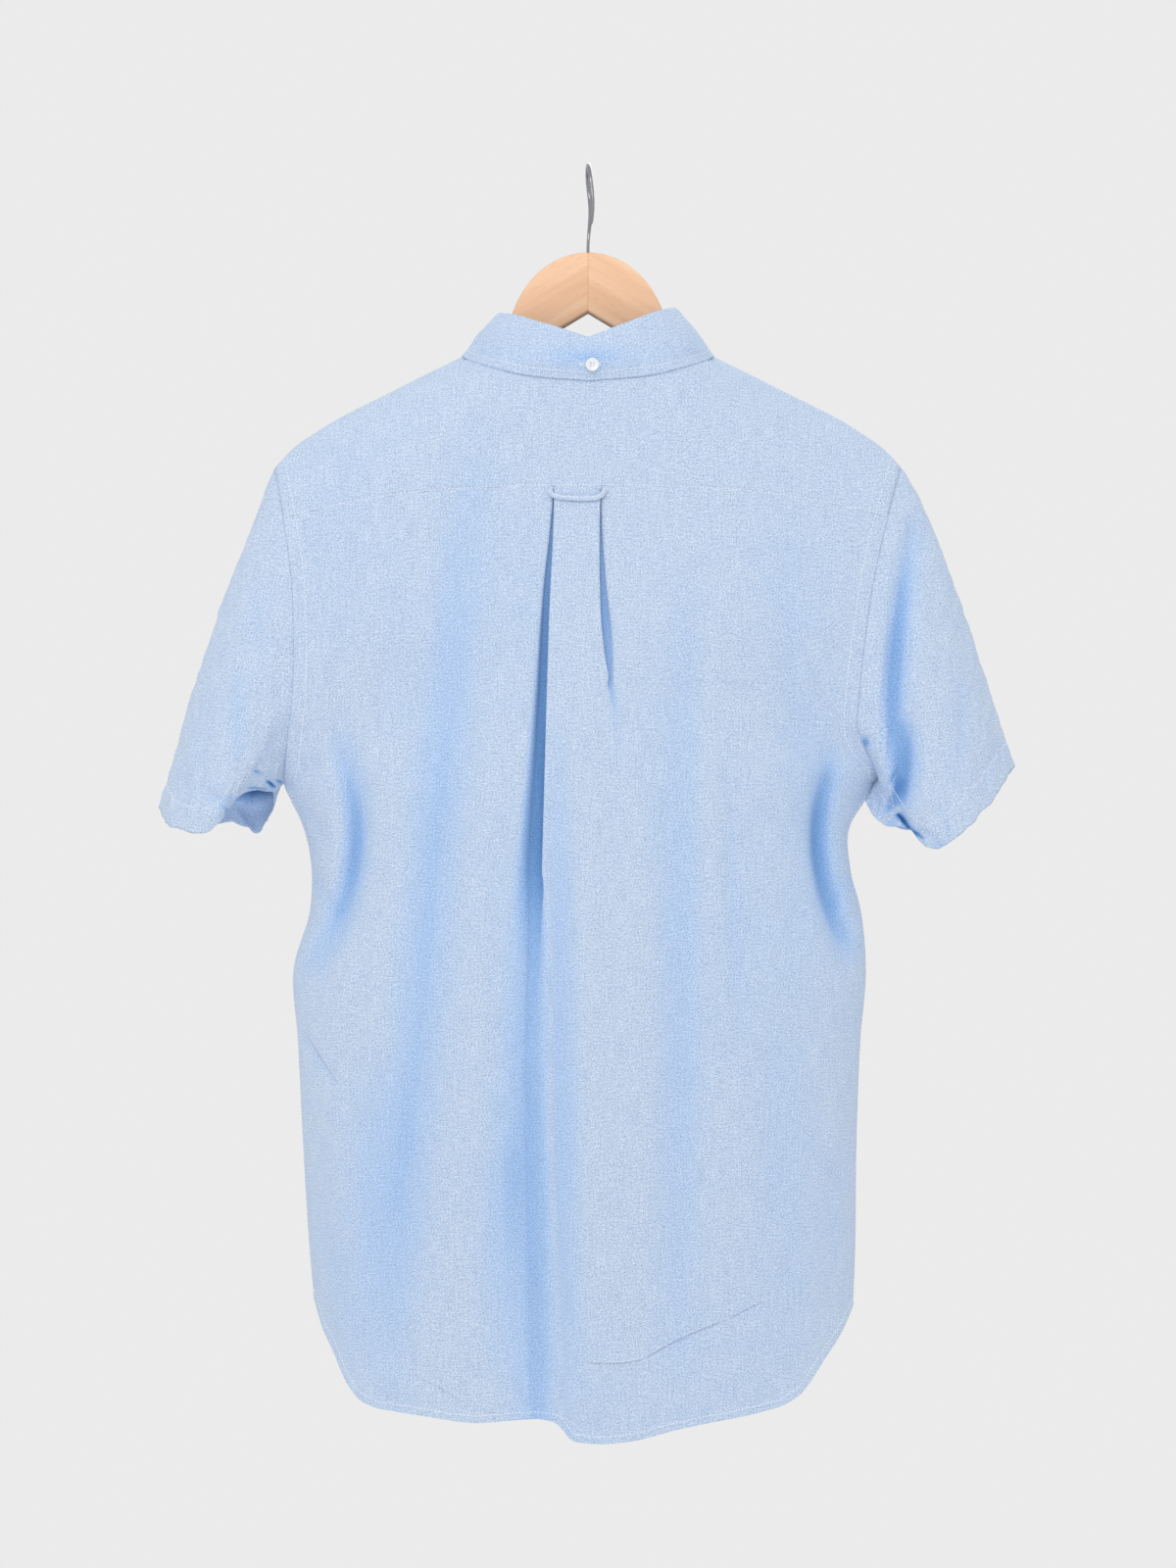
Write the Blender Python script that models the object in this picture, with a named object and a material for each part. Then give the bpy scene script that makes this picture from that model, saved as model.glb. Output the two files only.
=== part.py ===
"""Short-sleeved oxford shirt, buttoned up, hanging on a flat wooden hanger.

The shirt is built as it is cut and sewn: a yoke over both shoulders, a back with a box pleat, two fronts that
overlap at a placket, two sleeves, a collar stand, a turned-down collar leaf, a hanger loop and its buttons.
It hangs on a wooden hanger made of two halves glued at a mitre, with a wire hook.

Frame: +Z up. The wearer faces -Y, so +X is the wearer's left. The origin is the underside of the hook's top,
where it bears on a rail. Lengths in this file are millimetres until MM turns them into metres.
"""

import math
from functools import partial
from typing import NamedTuple

import bmesh
import bpy
import numpy as np
from mathutils import Matrix, Vector

MM = 0.001

# Cloth
WALL = 1.2  # thickness of a panel's wall
SEAM = 0.35  # each panel stops this short of the seam line
LIFT = 1.85  # from the middle of one layer to the middle of the next

# Where the main seams lie: heights are from the rail, so they are below nought
ARMPIT = -452.0
NECK_HALF = 68.0  # half the neck's width, at the shoulder
NECK_DROP_BACK = 62.0  # from the shoulder line's height at the centre down to the neck seam
NECK_DROP_FRONT = 104.0
FRONT_NECK_POWER = 0.85  # how square the front neckline is
YOKE_BACK = -238.5  # the yoke seam at the centre of the back
YOKE_SIDE_DROP = 20.0  # how much lower it is at the armholes
YOKE_FRONT_DROP = 22.0  # the front yoke seam lies this far under the shoulder line
YOKE_FRONT_SLANT = 6.0  # and this much further at the armholes
SETTLING = 40  # rounds that find where a seam meets the armhole
OVERLAP = 17.0  # each front runs this far past the middle
SIDE_SEAM_HEM = -832.0  # the hem's highest point, at the side seams
HEM_LEVEL = -900.0  # about where the rest of the hem lies
PLEAT_CLEAR = 20.0  # from a valley beside the pleat to the first plain column

# Shoulder line: the cloth turns over the hanger with this radius
RIDGE_RADIUS = 7.5
SECTION_POWER = 2.2  # how square a level section of the body is, where an ellipse has 2
SECTION_ROUND = 0.52  # how much rounder its sides are below the armpit
EDGE_POWER = 12.0  # how fast the armhole's depth dies out inwards below the armpit
BACK_REACH, FRONT_REACH = 12.0, 30.0  # how far down the cloth takes to fall clear of the shoulder line
BACK_SPREAD, FRONT_SPREAD = 0.25, 0.0625  # how that grows towards the arm
HANGER_FLAT = 60.0  # from this far out

# Wooden hanger and hook
WOOD_THICKNESS, WOOD_ROUND = 12.0, 5.6
WOOD_CLEAR = 2.6  # from the middle of the cloth down to the wood that it rests on
HUMP_TOP = -63.0
HUMP_WIDTH, HUMP_HEIGHT = 60.0, 72.0  # half axes of the ellipse that its neck follows
NOTCH_TOP = -107.6
NOTCH_EDGE, NOTCH_EDGE_LOW = 18.0, -118.4  # where its notch meets the arm's straight underside
ARM_TIP, ARM_TIP_LOW = 213.0, -225.4
WIRE = 1.6  # radius
HOOK_BEND = 17.6  # from the middle of the bend to the middle of the wire
HOOK_TURN = math.radians(3)  # the hook is swivelled a little on its stem

# Buttons
BUTTON_R = 4.9
BUTTON_SIDES, HOLE_SIDES = 16, 5
HOLE_R, HOLE_OFF = 0.75, 1.35
BUTTON_REST = 0.45  # a button's back stands this far off the cloth
FRONT_BUTTONS = (-272.0, -360.0, -448.0, -536.0, -624.0, -712.0)  # heights
COLLAR_BUTTON_X, COLLAR_BUTTON_Z = -3.6, -151.0


class Section(NamedTuple):
    """A level section of the body: its half widths to the left and right, its depths of back and front."""

    z: float
    left: float
    right: float
    back: float
    front: float


BODY = (
    Section(z=-222, left=230, right=229, back=50, front=58),
    Section(z=-260, left=222, right=218, back=51, front=61),
    Section(z=-300, left=216, right=209, back=54, front=64),
    Section(z=-345, left=214, right=203, back=57, front=67),
    Section(z=-390, left=215, right=199, back=60, front=70),
    Section(z=-430, left=220, right=202, back=63, front=72),
    Section(z=-452, left=223, right=209, back=64, front=73),
    Section(z=-482, left=211, right=194, back=65, front=74),
    Section(z=-515, left=203, right=194, back=65, front=75),
    Section(z=-545, left=204, right=200, back=66, front=75),
    Section(z=-588, left=216, right=204, back=67, front=75),
    Section(z=-640, left=213, right=200, back=67, front=75),
    Section(z=-720, left=209, right=197, back=65, front=73),
    Section(z=-800, left=204, right=196, back=62, front=70),
    Section(z=-860, left=198, right=193, back=60, front=67),
    Section(z=-940, left=190, right=188, back=58, front=64),
)


class Shoulder(NamedTuple):
    """One point of the shoulder line, at a distance from the middle of the body."""

    x: float
    z: float


SHOULDER = (
    Shoulder(x=0, z=-92.5),
    Shoulder(x=70, z=-128.5),
    Shoulder(x=144, z=-165.2),
    Shoulder(x=198, z=-194),
    Shoulder(x=218, z=-208.4),
    Shoulder(x=231, z=-223),
    Shoulder(x=240, z=-238),
)


class Hem(NamedTuple):
    """One point of a hem, +X to the wearer's left."""

    x: float
    z: float


BACK_HEM = (
    Hem(x=200, z=SIDE_SEAM_HEM),
    Hem(x=194, z=-856),
    Hem(x=180, z=-883),
    Hem(x=160, z=-900),
    Hem(x=120, z=-911),
    Hem(x=85, z=-914),
    Hem(x=50, z=-911),
    Hem(x=30, z=-912),
    Hem(x=12, z=-924),
    Hem(x=-2, z=-929),
    Hem(x=-30, z=-929),
    Hem(x=-64, z=-920),
    Hem(x=-100, z=-911),
    Hem(x=-130, z=-904),
    Hem(x=-152, z=-895),
    Hem(x=-169, z=-883),
    Hem(x=-182, z=-867),
    Hem(x=-190.5, z=-850),
    Hem(x=-195.5, z=SIDE_SEAM_HEM),
)
FRONT_HEM = (
    Hem(x=200, z=SIDE_SEAM_HEM),
    Hem(x=188, z=-860),
    Hem(x=162, z=-884),
    Hem(x=110, z=-897),
    Hem(x=50, z=-903),
    Hem(x=0, z=-905),
)


class Pleat(NamedTuple):
    """The box pleat at a height: its edges, the cloth tucked under each and the valley beside each."""

    z: float
    left: float
    right: float
    left_tuck: float
    right_tuck: float
    left_gap: float
    right_gap: float
    left_depth: float
    right_depth: float
    proud: float


PLEAT = (
    Pleat(z=-238, left=24.5, right=-8, left_tuck=12, right_tuck=12, left_gap=1, right_gap=1,
          left_depth=2.0, right_depth=2.0, proud=1.8),
    Pleat(z=-300, left=26, right=-7.5, left_tuck=11, right_tuck=11, left_gap=3, right_gap=3,
          left_depth=4, right_depth=4, proud=1.8),
    Pleat(z=-360, left=28, right=-9, left_tuck=10, right_tuck=8, left_gap=6, right_gap=6,
          left_depth=6.5, right_depth=5, proud=1.8),
    Pleat(z=-400, left=29.5, right=-13, left_tuck=9, right_tuck=3, left_gap=8, right_gap=8,
          left_depth=8.5, right_depth=3.5, proud=1.6),
    Pleat(z=-450, left=31, right=-15, left_tuck=7, right_tuck=0, left_gap=10, right_gap=10,
          left_depth=10.5, right_depth=1.5, proud=1.2),
    Pleat(z=-520, left=31, right=-16, left_tuck=3, right_tuck=0, left_gap=12, right_gap=14,
          left_depth=12, right_depth=0.5, proud=0.8),
    Pleat(z=-600, left=29.5, right=-17, left_tuck=0, right_tuck=0, left_gap=15, right_gap=16,
          left_depth=11.5, right_depth=0, proud=0.4),
    Pleat(z=-700, left=24.5, right=-20, left_tuck=0, right_tuck=0, left_gap=17, right_gap=16,
          left_depth=9.5, right_depth=0, proud=0),
    Pleat(z=-800, left=18, right=-24, left_tuck=0, right_tuck=0, left_gap=17, right_gap=16,
          left_depth=9, right_depth=0, proud=0),
    Pleat(z=-930, left=11, right=-30, left_tuck=0, right_tuck=0, left_gap=15, right_gap=16,
          left_depth=10, right_depth=0, proud=0),
)


class Fold(NamedTuple):
    """A soft fold of the body: a curve from (x0, z0) past (x1, z1) to (x2, z2). Depth is inwards."""

    x0: float
    z0: float
    x1: float
    z1: float
    x2: float
    z2: float
    width: float
    depth: float


BACK_FOLDS = (
    Fold(x0=77, z0=-235, x1=97, z1=-480, x2=119, z2=-900, width=17, depth=7),
    Fold(x0=-50, z0=-290, x1=-62, z1=-560, x2=-66, z2=-900, width=15, depth=-4),
    Fold(x0=-76, z0=-300, x1=-86, z1=-560, x2=-96, z2=-920, width=15, depth=5),
    Fold(x0=-140, z0=-520, x1=-138, z1=-650, x2=-150, z2=-880, width=20, depth=4),
    Fold(x0=186, z0=-402, x1=160, z1=-500, x2=206, z2=-592, width=10, depth=13),
    Fold(x0=-182, z0=-408, x1=-154, z1=-495, x2=-194, z2=-580, width=10, depth=13),
    Fold(x0=150, z0=-640, x1=160, z1=-740, x2=158, z2=-890, width=18, depth=4),
)
FRONT_FOLDS = (
    Fold(x0=60, z0=-230, x1=84, z1=-520, x2=96, z2=-905, width=17, depth=9),
    Fold(x0=-56, z0=-240, x1=-78, z1=-540, x2=-84, z2=-905, width=16, depth=8),
    Fold(x0=128, z0=-330, x1=138, z1=-600, x2=146, z2=-890, width=19, depth=-6),
    Fold(x0=-126, z0=-330, x1=-132, z1=-600, x2=-140, z2=-890, width=19, depth=-6),
    Fold(x0=188, z0=-404, x1=162, z1=-500, x2=204, z2=-590, width=10, depth=11),
    Fold(x0=-184, z0=-404, x1=-154, z1=-498, x2=-194, z2=-584, width=10, depth=11),
    Fold(x0=44, z0=-560, x1=46, z1=-740, x2=44, z2=-905, width=13, depth=-4),
    Fold(x0=-42, z0=-500, x1=-46, z1=-700, x2=-44, z2=-905, width=13, depth=-4),
)


class Cuff(NamedTuple):
    """A point of a sleeve's opening. turn goes from the outer fold round the back, underarm and front."""

    turn: float
    x: float
    y: float
    z: float


LEFT_CUFF = (
    Cuff(turn=0.00, x=315, y=0, z=-471),
    Cuff(turn=0.10, x=307, y=26, z=-482),
    Cuff(turn=0.20, x=290, y=44, z=-486),
    Cuff(turn=0.30, x=272, y=46, z=-483),
    Cuff(turn=0.38, x=257, y=37, z=-467),
    Cuff(turn=0.45, x=242, y=22, z=-459),
    Cuff(turn=0.50, x=232, y=2, z=-459),
    Cuff(turn=0.56, x=235, y=-16, z=-470),
    Cuff(turn=0.64, x=243, y=-34, z=-486),
    Cuff(turn=0.74, x=262, y=-47, z=-489),
    Cuff(turn=0.85, x=287, y=-42, z=-487),
    Cuff(turn=0.94, x=309, y=-20, z=-478),
    Cuff(turn=1.00, x=315, y=0, z=-471),
)
RIGHT_CUFF = (
    Cuff(turn=0.00, x=-313, y=0, z=-441),
    Cuff(turn=0.10, x=-304, y=28, z=-458),
    Cuff(turn=0.20, x=-287, y=46, z=-476),
    Cuff(turn=0.30, x=-266, y=50, z=-491),
    Cuff(turn=0.38, x=-250, y=40, z=-499),
    Cuff(turn=0.44, x=-233, y=24, z=-491),
    Cuff(turn=0.50, x=-218, y=2, z=-480),
    Cuff(turn=0.56, x=-231, y=-20, z=-484),
    Cuff(turn=0.64, x=-240, y=-36, z=-494),
    Cuff(turn=0.74, x=-257, y=-48, z=-494),
    Cuff(turn=0.85, x=-283, y=-42, z=-478),
    Cuff(turn=0.94, x=-305, y=-20, z=-456),
    Cuff(turn=1.00, x=-313, y=0, z=-441),
)


class SleeveFold(NamedTuple):
    """A valley down a sleeve: its turn round the sleeve at either end, and how far down those are."""

    turn0: float
    v0: float
    turn1: float
    v1: float
    width: float
    depth: float


LEFT_UNDERARM, RIGHT_UNDERARM = 2.4, 4.8  # how much further the sleeve stops short under the arm
SLEEVE_SWELL = 5.0  # how far the outer fold bows outwards between shoulder and cuff
LEFT_SLEEVE_FOLDS = (
    SleeveFold(turn0=0.34, v0=0.2, turn1=0.39, v1=1.0, width=0.035, depth=6),
    SleeveFold(turn0=0.16, v0=0.1, turn1=0.22, v1=0.95, width=0.05, depth=3),
    SleeveFold(turn0=0.80, v0=0.1, turn1=0.74, v1=1.0, width=0.05, depth=6),
)
RIGHT_SLEEVE_FOLDS = (
    SleeveFold(turn0=0.19, v0=0.05, turn1=0.33, v1=1.0, width=0.045, depth=10),
    SleeveFold(turn0=0.42, v0=0.3, turn1=0.44, v1=1.0, width=0.03, depth=4),
    SleeveFold(turn0=0.82, v0=0.1, turn1=0.72, v1=1.0, width=0.05, depth=7),
)


class Leaf(NamedTuple):
    """The collar leaf's outer edge at an angle from the back of the neck. Depth is from the hanger."""

    angle: float
    x: float
    depth: float
    z: float


LEAF_EDGE = (
    Leaf(angle=0, x=0, depth=56, z=-162),
    Leaf(angle=30, x=47, depth=53, z=-157.5),
    Leaf(angle=60, x=82, depth=33, z=-147),
    Leaf(angle=78, x=93, depth=15, z=-141),
    Leaf(angle=90, x=95.5, depth=0, z=-138.5),
    Leaf(angle=108, x=96, depth=-20, z=-146),
    Leaf(angle=125, x=88, depth=-43.5, z=-168),
    Leaf(angle=145, x=70, depth=-57.5, z=-205),
    Leaf(angle=172, x=46, depth=-65, z=-241),
)
LEAF_END = 172.0  # degrees round the neck from the back, where the leaf stops on either side
FOLD_HALF = 64.0  # half width of the collar at its fold
FOLD_BACK, FOLD_FRONT = 47.5, 55.0  # depth of the fold behind and before the hanger
FOLD_SIDE_Z, FOLD_BACK_Z, FOLD_FRONT_Z = -106.0, -127.5, -169.0
LEAF_ROLL = 3.0  # how far the leaf bows outwards between its fold and its edge


class Station(NamedTuple):
    """A section of the wooden arm at a distance from its middle, and how far its rounded tip shrinks it."""

    x: float
    shrink: float


ARM_STATIONS = (
    Station(x=0.15, shrink=1),
    Station(x=10, shrink=1),
    Station(x=18, shrink=1),
    Station(x=28, shrink=1),
    Station(x=38, shrink=1),
    Station(x=46, shrink=1),
    Station(x=52, shrink=1),
    Station(x=56, shrink=1),
    Station(x=58.3, shrink=1),
    Station(x=60, shrink=1),
    Station(x=66, shrink=1),
    Station(x=80, shrink=1),
    Station(x=105, shrink=1),
    Station(x=130, shrink=1),
    Station(x=155, shrink=1),
    Station(x=180, shrink=1),
    Station(x=200, shrink=1),
    Station(x=207, shrink=0.95),
    Station(x=211, shrink=0.8),
    Station(x=ARM_TIP, shrink=0.5),
)


class Bend(NamedTuple):
    """A point of the hook's wire, in the hook's own plane."""

    y: float
    z: float


HOOK_STEM = (
    Bend(y=-0.3, z=-51),
    Bend(y=-2.5, z=-45),
    Bend(y=-6.5, z=-38.5),
    Bend(y=-11, z=-32),
)
HOOK_TAIL = (
    Bend(y=17.9, z=-26),
    Bend(y=17.6, z=-36),
    Bend(y=17, z=-45),
)


class Loop(NamedTuple):
    """A point of the hanger loop's band: across the back, height, and how far it stands off the body."""

    x: float
    z: float
    lift: float


LOCKER_LOOP = (
    Loop(x=28.0, z=-240.5, lift=3.4),
    Loop(x=26.2, z=-243.6, lift=3.6),
    Loop(x=22.5, z=-245.8, lift=3.9),
    Loop(x=15, z=-246.8, lift=4.3),
    Loop(x=7, z=-247.2, lift=4.5),
    Loop(x=-1, z=-247.1, lift=4.3),
    Loop(x=-7.5, z=-246.3, lift=3.9),
    Loop(x=-11.5, z=-243.9, lift=3.6),
    Loop(x=-13.6, z=-240.5, lift=3.4),
)
LOOP_TALL, LOOP_THICK = 3.4, 1.1


class Ring(NamedTuple):
    """One circle of a button's turned form, from its back round its rim to its dished face."""

    radius: float
    height: float


BUTTON_PROFILE = (
    Ring(radius=3.7, height=0),
    Ring(radius=BUTTON_R, height=0.8),
    Ring(radius=BUTTON_R, height=1.6),
    Ring(radius=4.3, height=2.2),
    Ring(radius=3.3, height=1.6),
)


# Grids: spans across each panel, and rows above and below the armpit
SIDE_COLUMNS, PLEAT_COLUMNS = 9, 9  # on each side of the back
ROWS_ABOVE, ROWS_BELOW = 8, 10
YOKE_ROWS = 9
RING_COLUMNS = 18  # of the yoke, along the neck
SEAM_COLUMNS = 9  # of the yoke and of a front, along the front yoke seam
FRONT_RING_COLUMNS = 6
SLEEVE_ROWS = 8
COLLAR_COLUMNS = 30


# Degrees round the neck, from the back, where the front yoke seam starts
YOKE_TURN = 180 - math.degrees(math.asin(1 - (YOKE_FRONT_DROP / NECK_DROP_FRONT) ** (1 / FRONT_NECK_POWER)))


# Curves and tables


def curve(keys, values, at):
    """A smooth curve through a table's values, held level past its ends."""
    keys, values = np.asarray(keys, float), np.asarray(values, float)
    order = np.argsort(keys)
    keys, values = keys[order], values[order]
    slopes = np.gradient(values, keys)
    at = np.clip(at, keys[0], keys[-1])
    i = np.clip(np.searchsorted(keys, at) - 1, 0, len(keys) - 2)
    span = keys[i + 1] - keys[i]
    t = (at - keys[i]) / span
    start, end = slopes[i] * span, slopes[i + 1] * span
    rise = values[i + 1] - values[i]
    return values[i] + t * (start + t * (3 * rise - 2 * start - end + t * (start + end - 2 * rise)))


def column(rows, name, at, key="z"):
    """One named column of a table as a smooth curve over another."""
    return curve([getattr(r, key) for r in rows], [getattr(r, name) for r in rows], at)


def eased(low, high, at):
    """0 before low, 1 after high, and an even ease between them."""
    t = np.clip((np.asarray(at, float) - low) / (high - low), 0, 1)
    return t * t * (3 - 2 * t)


# The body's form


def shoulder(x):
    """Height of the shoulder line."""
    return column(SHOULDER, "z", np.abs(x), key="x")


def half_width(x, z):
    """Half width of the body on the side that x is on."""
    return np.where(np.asarray(x) >= 0, column(BODY, "left", z), column(BODY, "right", z))


def armhole_depth(z):
    """How far the armhole seam lies behind or before the middle: nothing from the armpit down."""
    widest, closing = 34.0, 76.0
    below = np.clip((ARMPIT + closing - z) / closing, 0, 1)
    return widest * np.sqrt(1 - below**2)


def body_depth(x, z, face):
    """Distance of the cloth from the hanger's plane. face is 1 on the back and -1 on the front."""
    z = np.asarray(z, float)
    middle = column(BODY, "back" if face > 0 else "front", z)
    end = armhole_depth(z)
    share = np.clip(np.abs(x) / half_width(x, z), 0, 1)
    lower = eased(300, -ARMPIT, -z)
    full = middle * (1 - share**SECTION_POWER) ** (1 - SECTION_ROUND * lower)
    full = full + end * share ** (SECTION_POWER + EDGE_POWER * lower)
    drop = np.maximum(shoulder(x) - z, 0)
    reach, spread = (BACK_REACH, BACK_SPREAD) if face > 0 else (FRONT_REACH, FRONT_SPREAD)
    reach = reach + spread * np.maximum(np.abs(x) - HANGER_FLAT, 0)
    over = RIDGE_RADIUS * np.sqrt(1 - np.exp(-2 * drop / RIDGE_RADIUS))
    return over + (full - RIDGE_RADIUS) * (1 - np.exp(-drop / reach))


def fold_relief(x, z, folds):
    """How far the soft folds push the cloth outwards at points of a face."""
    relief = np.zeros(np.broadcast(x, z).shape)
    for f in folds:
        best = np.full(relief.shape, 1e9)
        along = np.zeros(relief.shape)
        for t in np.linspace(0, 1, 25):
            a, b, c = (1 - t) ** 2, 2 * t * (1 - t), t * t
            beside = x - (a * f.x0 + b * f.x1 + c * f.x2)
            above = z - (a * f.z0 + b * f.z1 + c * f.z2)
            gap = np.hypot(beside, 0.5 * above)
            along = np.where(gap < best, t, along)
            best = np.minimum(gap, best)
        fade = np.sin(np.pi * np.clip(along, 0.0, 1.0)) ** 0.7
        relief -= f.depth * fade * np.exp(-((best / f.width) ** 2))
    return relief


def on_body(x, z, face, lift=0.0):
    """Points on a face of the body, moved out by its folds and by lift."""
    x, z = np.broadcast_arrays(np.asarray(x, float), np.asarray(z, float))
    share = np.clip(np.abs(x) / half_width(x, z), 0, 1)
    below = eased(-ARMPIT - 20, -ARMPIT + 20, -z)
    sideways = np.sign(x) * share**8 * below
    outwards = face * np.sqrt(1 - sideways**2)
    near_side = 1 - share**12
    out = lift + fold_relief(x, z, BACK_FOLDS if face > 0 else FRONT_FOLDS) * near_side
    y = face * body_depth(x, z, face)
    return np.stack([x + sideways * out, y + outwards * out, z], axis=-1)


def neck_ring(angle):
    """(x, height, face) of the neck seam at an angle in degrees from the back of the neck, + to the left."""
    a = np.radians(angle)
    x = NECK_HALF * np.sin(a)
    front = np.abs(angle) > 90
    short = 1 - np.abs(np.sin(a))
    drop = np.where(front, NECK_DROP_FRONT * short**FRONT_NECK_POWER, NECK_DROP_BACK * short)
    return x, shoulder(x) - drop, np.where(front, -1, 1)


def ring_point(angle):
    """The neck seam in space."""
    x, z, face = neck_ring(angle)
    y = np.where(face > 0, body_depth(x, z, 1), -body_depth(x, z, -1))
    return np.stack([x, y, z], axis=-1)


def ring_angles(start, end, spans):
    """Angles between two others that part the neck seam evenly by length."""
    fine = np.linspace(start, end, 721)
    steps = np.linalg.norm(np.diff(ring_point(fine), axis=0), axis=1)
    length = np.concatenate([[0], np.cumsum(steps)])
    return np.interp(np.linspace(0, length[-1], spans + 1), length, fine)


def yoke_line(x):
    """Height of the yoke seam on the back."""
    return YOKE_BACK - YOKE_SIDE_DROP * (np.abs(x) / 216) ** 2.6


def front_yoke_line(x):
    """Height of the yoke seam on a front."""
    return shoulder(x) - YOKE_FRONT_DROP - YOKE_FRONT_SLANT * eased(70, 220, np.abs(x))


# Grids of points, as arrays of [column, row, 3]


def rows_between(top, hem, above, below):
    """Heights from top to the armpit, closing up towards it, and evenly from there to the hem."""
    upper = top + (ARMPIT - top) * np.sin(np.linspace(0, np.pi / 2, above + 1))
    return np.concatenate([upper, np.linspace(ARMPIT, hem, below + 1)[1:]])


def pleat_column(side, index, z):
    """(x, lift) at heights z of one of the nine columns that make a pleat's edge, from the side inwards."""
    sign = 1 if side == "left" else -1
    edge = sign * column(PLEAT, side, z)
    tuck, gap = column(PLEAT, side + "_tuck", z), column(PLEAT, side + "_gap", z)
    proud = column(PLEAT, "proud", z)
    shut = np.clip(tuck / 3, 0, 1)
    floor = -np.maximum(column(PLEAT, side + "_depth", z), (LIFT - 0.1) * shut)
    folded = (
        (gap + 9, 0 * z),
        (gap + 1.5, 0.6 * floor),
        (0.5 * gap, floor),
        (-0.6 * tuck, floor),
        (-tuck - 0.9, 0.5 * floor),
        (-0.6 * tuck, 0 * z),
        (0.2 + 0 * z, 0.1 * proud),
        (0.5 + 0 * z, 0.75 * proud),
        (-3.0 + 0 * z, proud),
    )
    opened = (
        (gap + 9, 0 * z),
        (0.8 * gap, 0.5 * floor),
        (0.5 * gap, 0.9 * floor),
        (0.25 * gap, floor),
        (0.05 * gap, 0.85 * floor),
        (-2.0 + 0 * z, 0.35 * floor),
        (-4.0 + 0 * z, 0.08 * floor),
        (-6.5 + 0 * z, 0.5 * proud),
        (-9.0 + 0 * z, proud),
    )
    x = edge + opened[index][0] + (folded[index][0] - opened[index][0]) * shut
    lift = opened[index][1] + (folded[index][1] - opened[index][1]) * shut
    return sign * x, lift


def side_column(side, index, z):
    """(x, lift) at heights z of one of the columns from a side seam in to the pleat."""
    sign = 1 if side == "left" else -1
    width = half_width(sign, z)
    start = sign * column(PLEAT, side, z) + column(PLEAT, side + "_gap", z) + PLEAT_CLEAR
    angle = np.pi / 2 + (np.arcsin(start / width) - np.pi / 2) * index / (SIDE_COLUMNS - 1)
    return sign * width * np.sin(angle), 0 * z


def middle_column(z):
    """(x, lift) at heights z of the pleat's middle."""
    return (column(PLEAT, "left", z) + column(PLEAT, "right", z)) / 2, column(PLEAT, "proud", z)


def back_grid():
    """The back panel, from the left side seam to the right one, with its pleat folded."""
    half = [(side_column, i) for i in range(SIDE_COLUMNS)]
    half += [(pleat_column, i) for i in range(PLEAT_COLUMNS)]
    left = [partial(shape, "left", i) for shape, i in half]
    right = [partial(shape, "right", i) for shape, i in reversed(half)]
    columns = []
    for shape in left + [middle_column] + right:
        x_top, x_hem = shape(np.array(YOKE_BACK))[0], shape(np.array(HEM_LEVEL))[0]
        at_side = half_width(x_hem, SIDE_SEAM_HEM) / half_width(x_hem, HEM_LEVEL)
        hem = column(BACK_HEM, "z", x_hem * at_side, key="x")
        z = rows_between(yoke_line(x_top), hem, ROWS_ABOVE, ROWS_BELOW)
        x, lift = shape(z)
        columns.append(on_body(x, z, 1, lift))
    return trimmed(np.array(columns))


def front_lap(x):
    """How far the left front stands off to clear the right front under it."""
    return LIFT * (1 - eased(OVERLAP + 3, OVERLAP + 29, x))


def front_grid(sign):
    """A front, from its centre edge to the side seam. sign is 1 for the left, whose edge lies on top."""
    edge = -OVERLAP
    edge_angle = 180 + math.degrees(math.asin(OVERLAP / NECK_HALF))
    ring_x, ring_z, _ = neck_ring(ring_angles(edge_angle, YOKE_TURN, FRONT_RING_COLUMNS))
    seam_x = np.linspace(ring_x[-1], sign * armhole_edge(sign, YOKE_ROWS)[0][0], SEAM_COLUMNS + 1)[1:]
    x_top = np.concatenate([ring_x, seam_x])
    z_top = np.concatenate([ring_z, front_yoke_line(seam_x)])
    share_top = (x_top - edge) / (half_width(sign, z_top) - edge)
    share_top[-1] = 1
    share_low = np.sin(np.linspace(0, np.pi / 2, len(x_top)))
    columns = []
    at_side = half_width(sign, SIDE_SEAM_HEM)
    for top, first, low in zip(z_top, share_top, share_low):
        x_hem = abs(edge + (at_side - edge) * low)
        hem = column(FRONT_HEM, "z", x_hem * FRONT_HEM[0].x / at_side, key="x")
        z = rows_between(top, hem, ROWS_ABOVE, ROWS_BELOW)
        blend = eased(240, -ARMPIT, -z)
        x = edge + (half_width(sign, z) - edge) * (first * (1 - blend) + low * blend)
        lift = front_lap(x) if sign > 0 else 0 * x
        columns.append(on_body(sign * x, z, -1, lift))
    return trimmed(np.array(columns))


def armhole_edge(sign, rows):
    """(x, signed root of the drop) along the yoke's armhole edge, from front seam to back."""
    def landed(root):
        """Where a point this far down from the shoulder line meets the armhole."""
        x = np.full(np.shape(root), BODY[0].left)
        for _ in range(SETTLING):
            x = 0.5 * x + 0.5 * half_width(sign, shoulder(x) - root**2)
        return x

    front = -math.sqrt(YOKE_FRONT_DROP + YOKE_FRONT_SLANT)
    back = -front
    for _ in range(SETTLING):
        x = landed(back)
        back = math.sqrt(float(shoulder(x) - yoke_line(x)))
    root = np.linspace(front, back, rows + 1)
    return sign * landed(root), root


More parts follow.
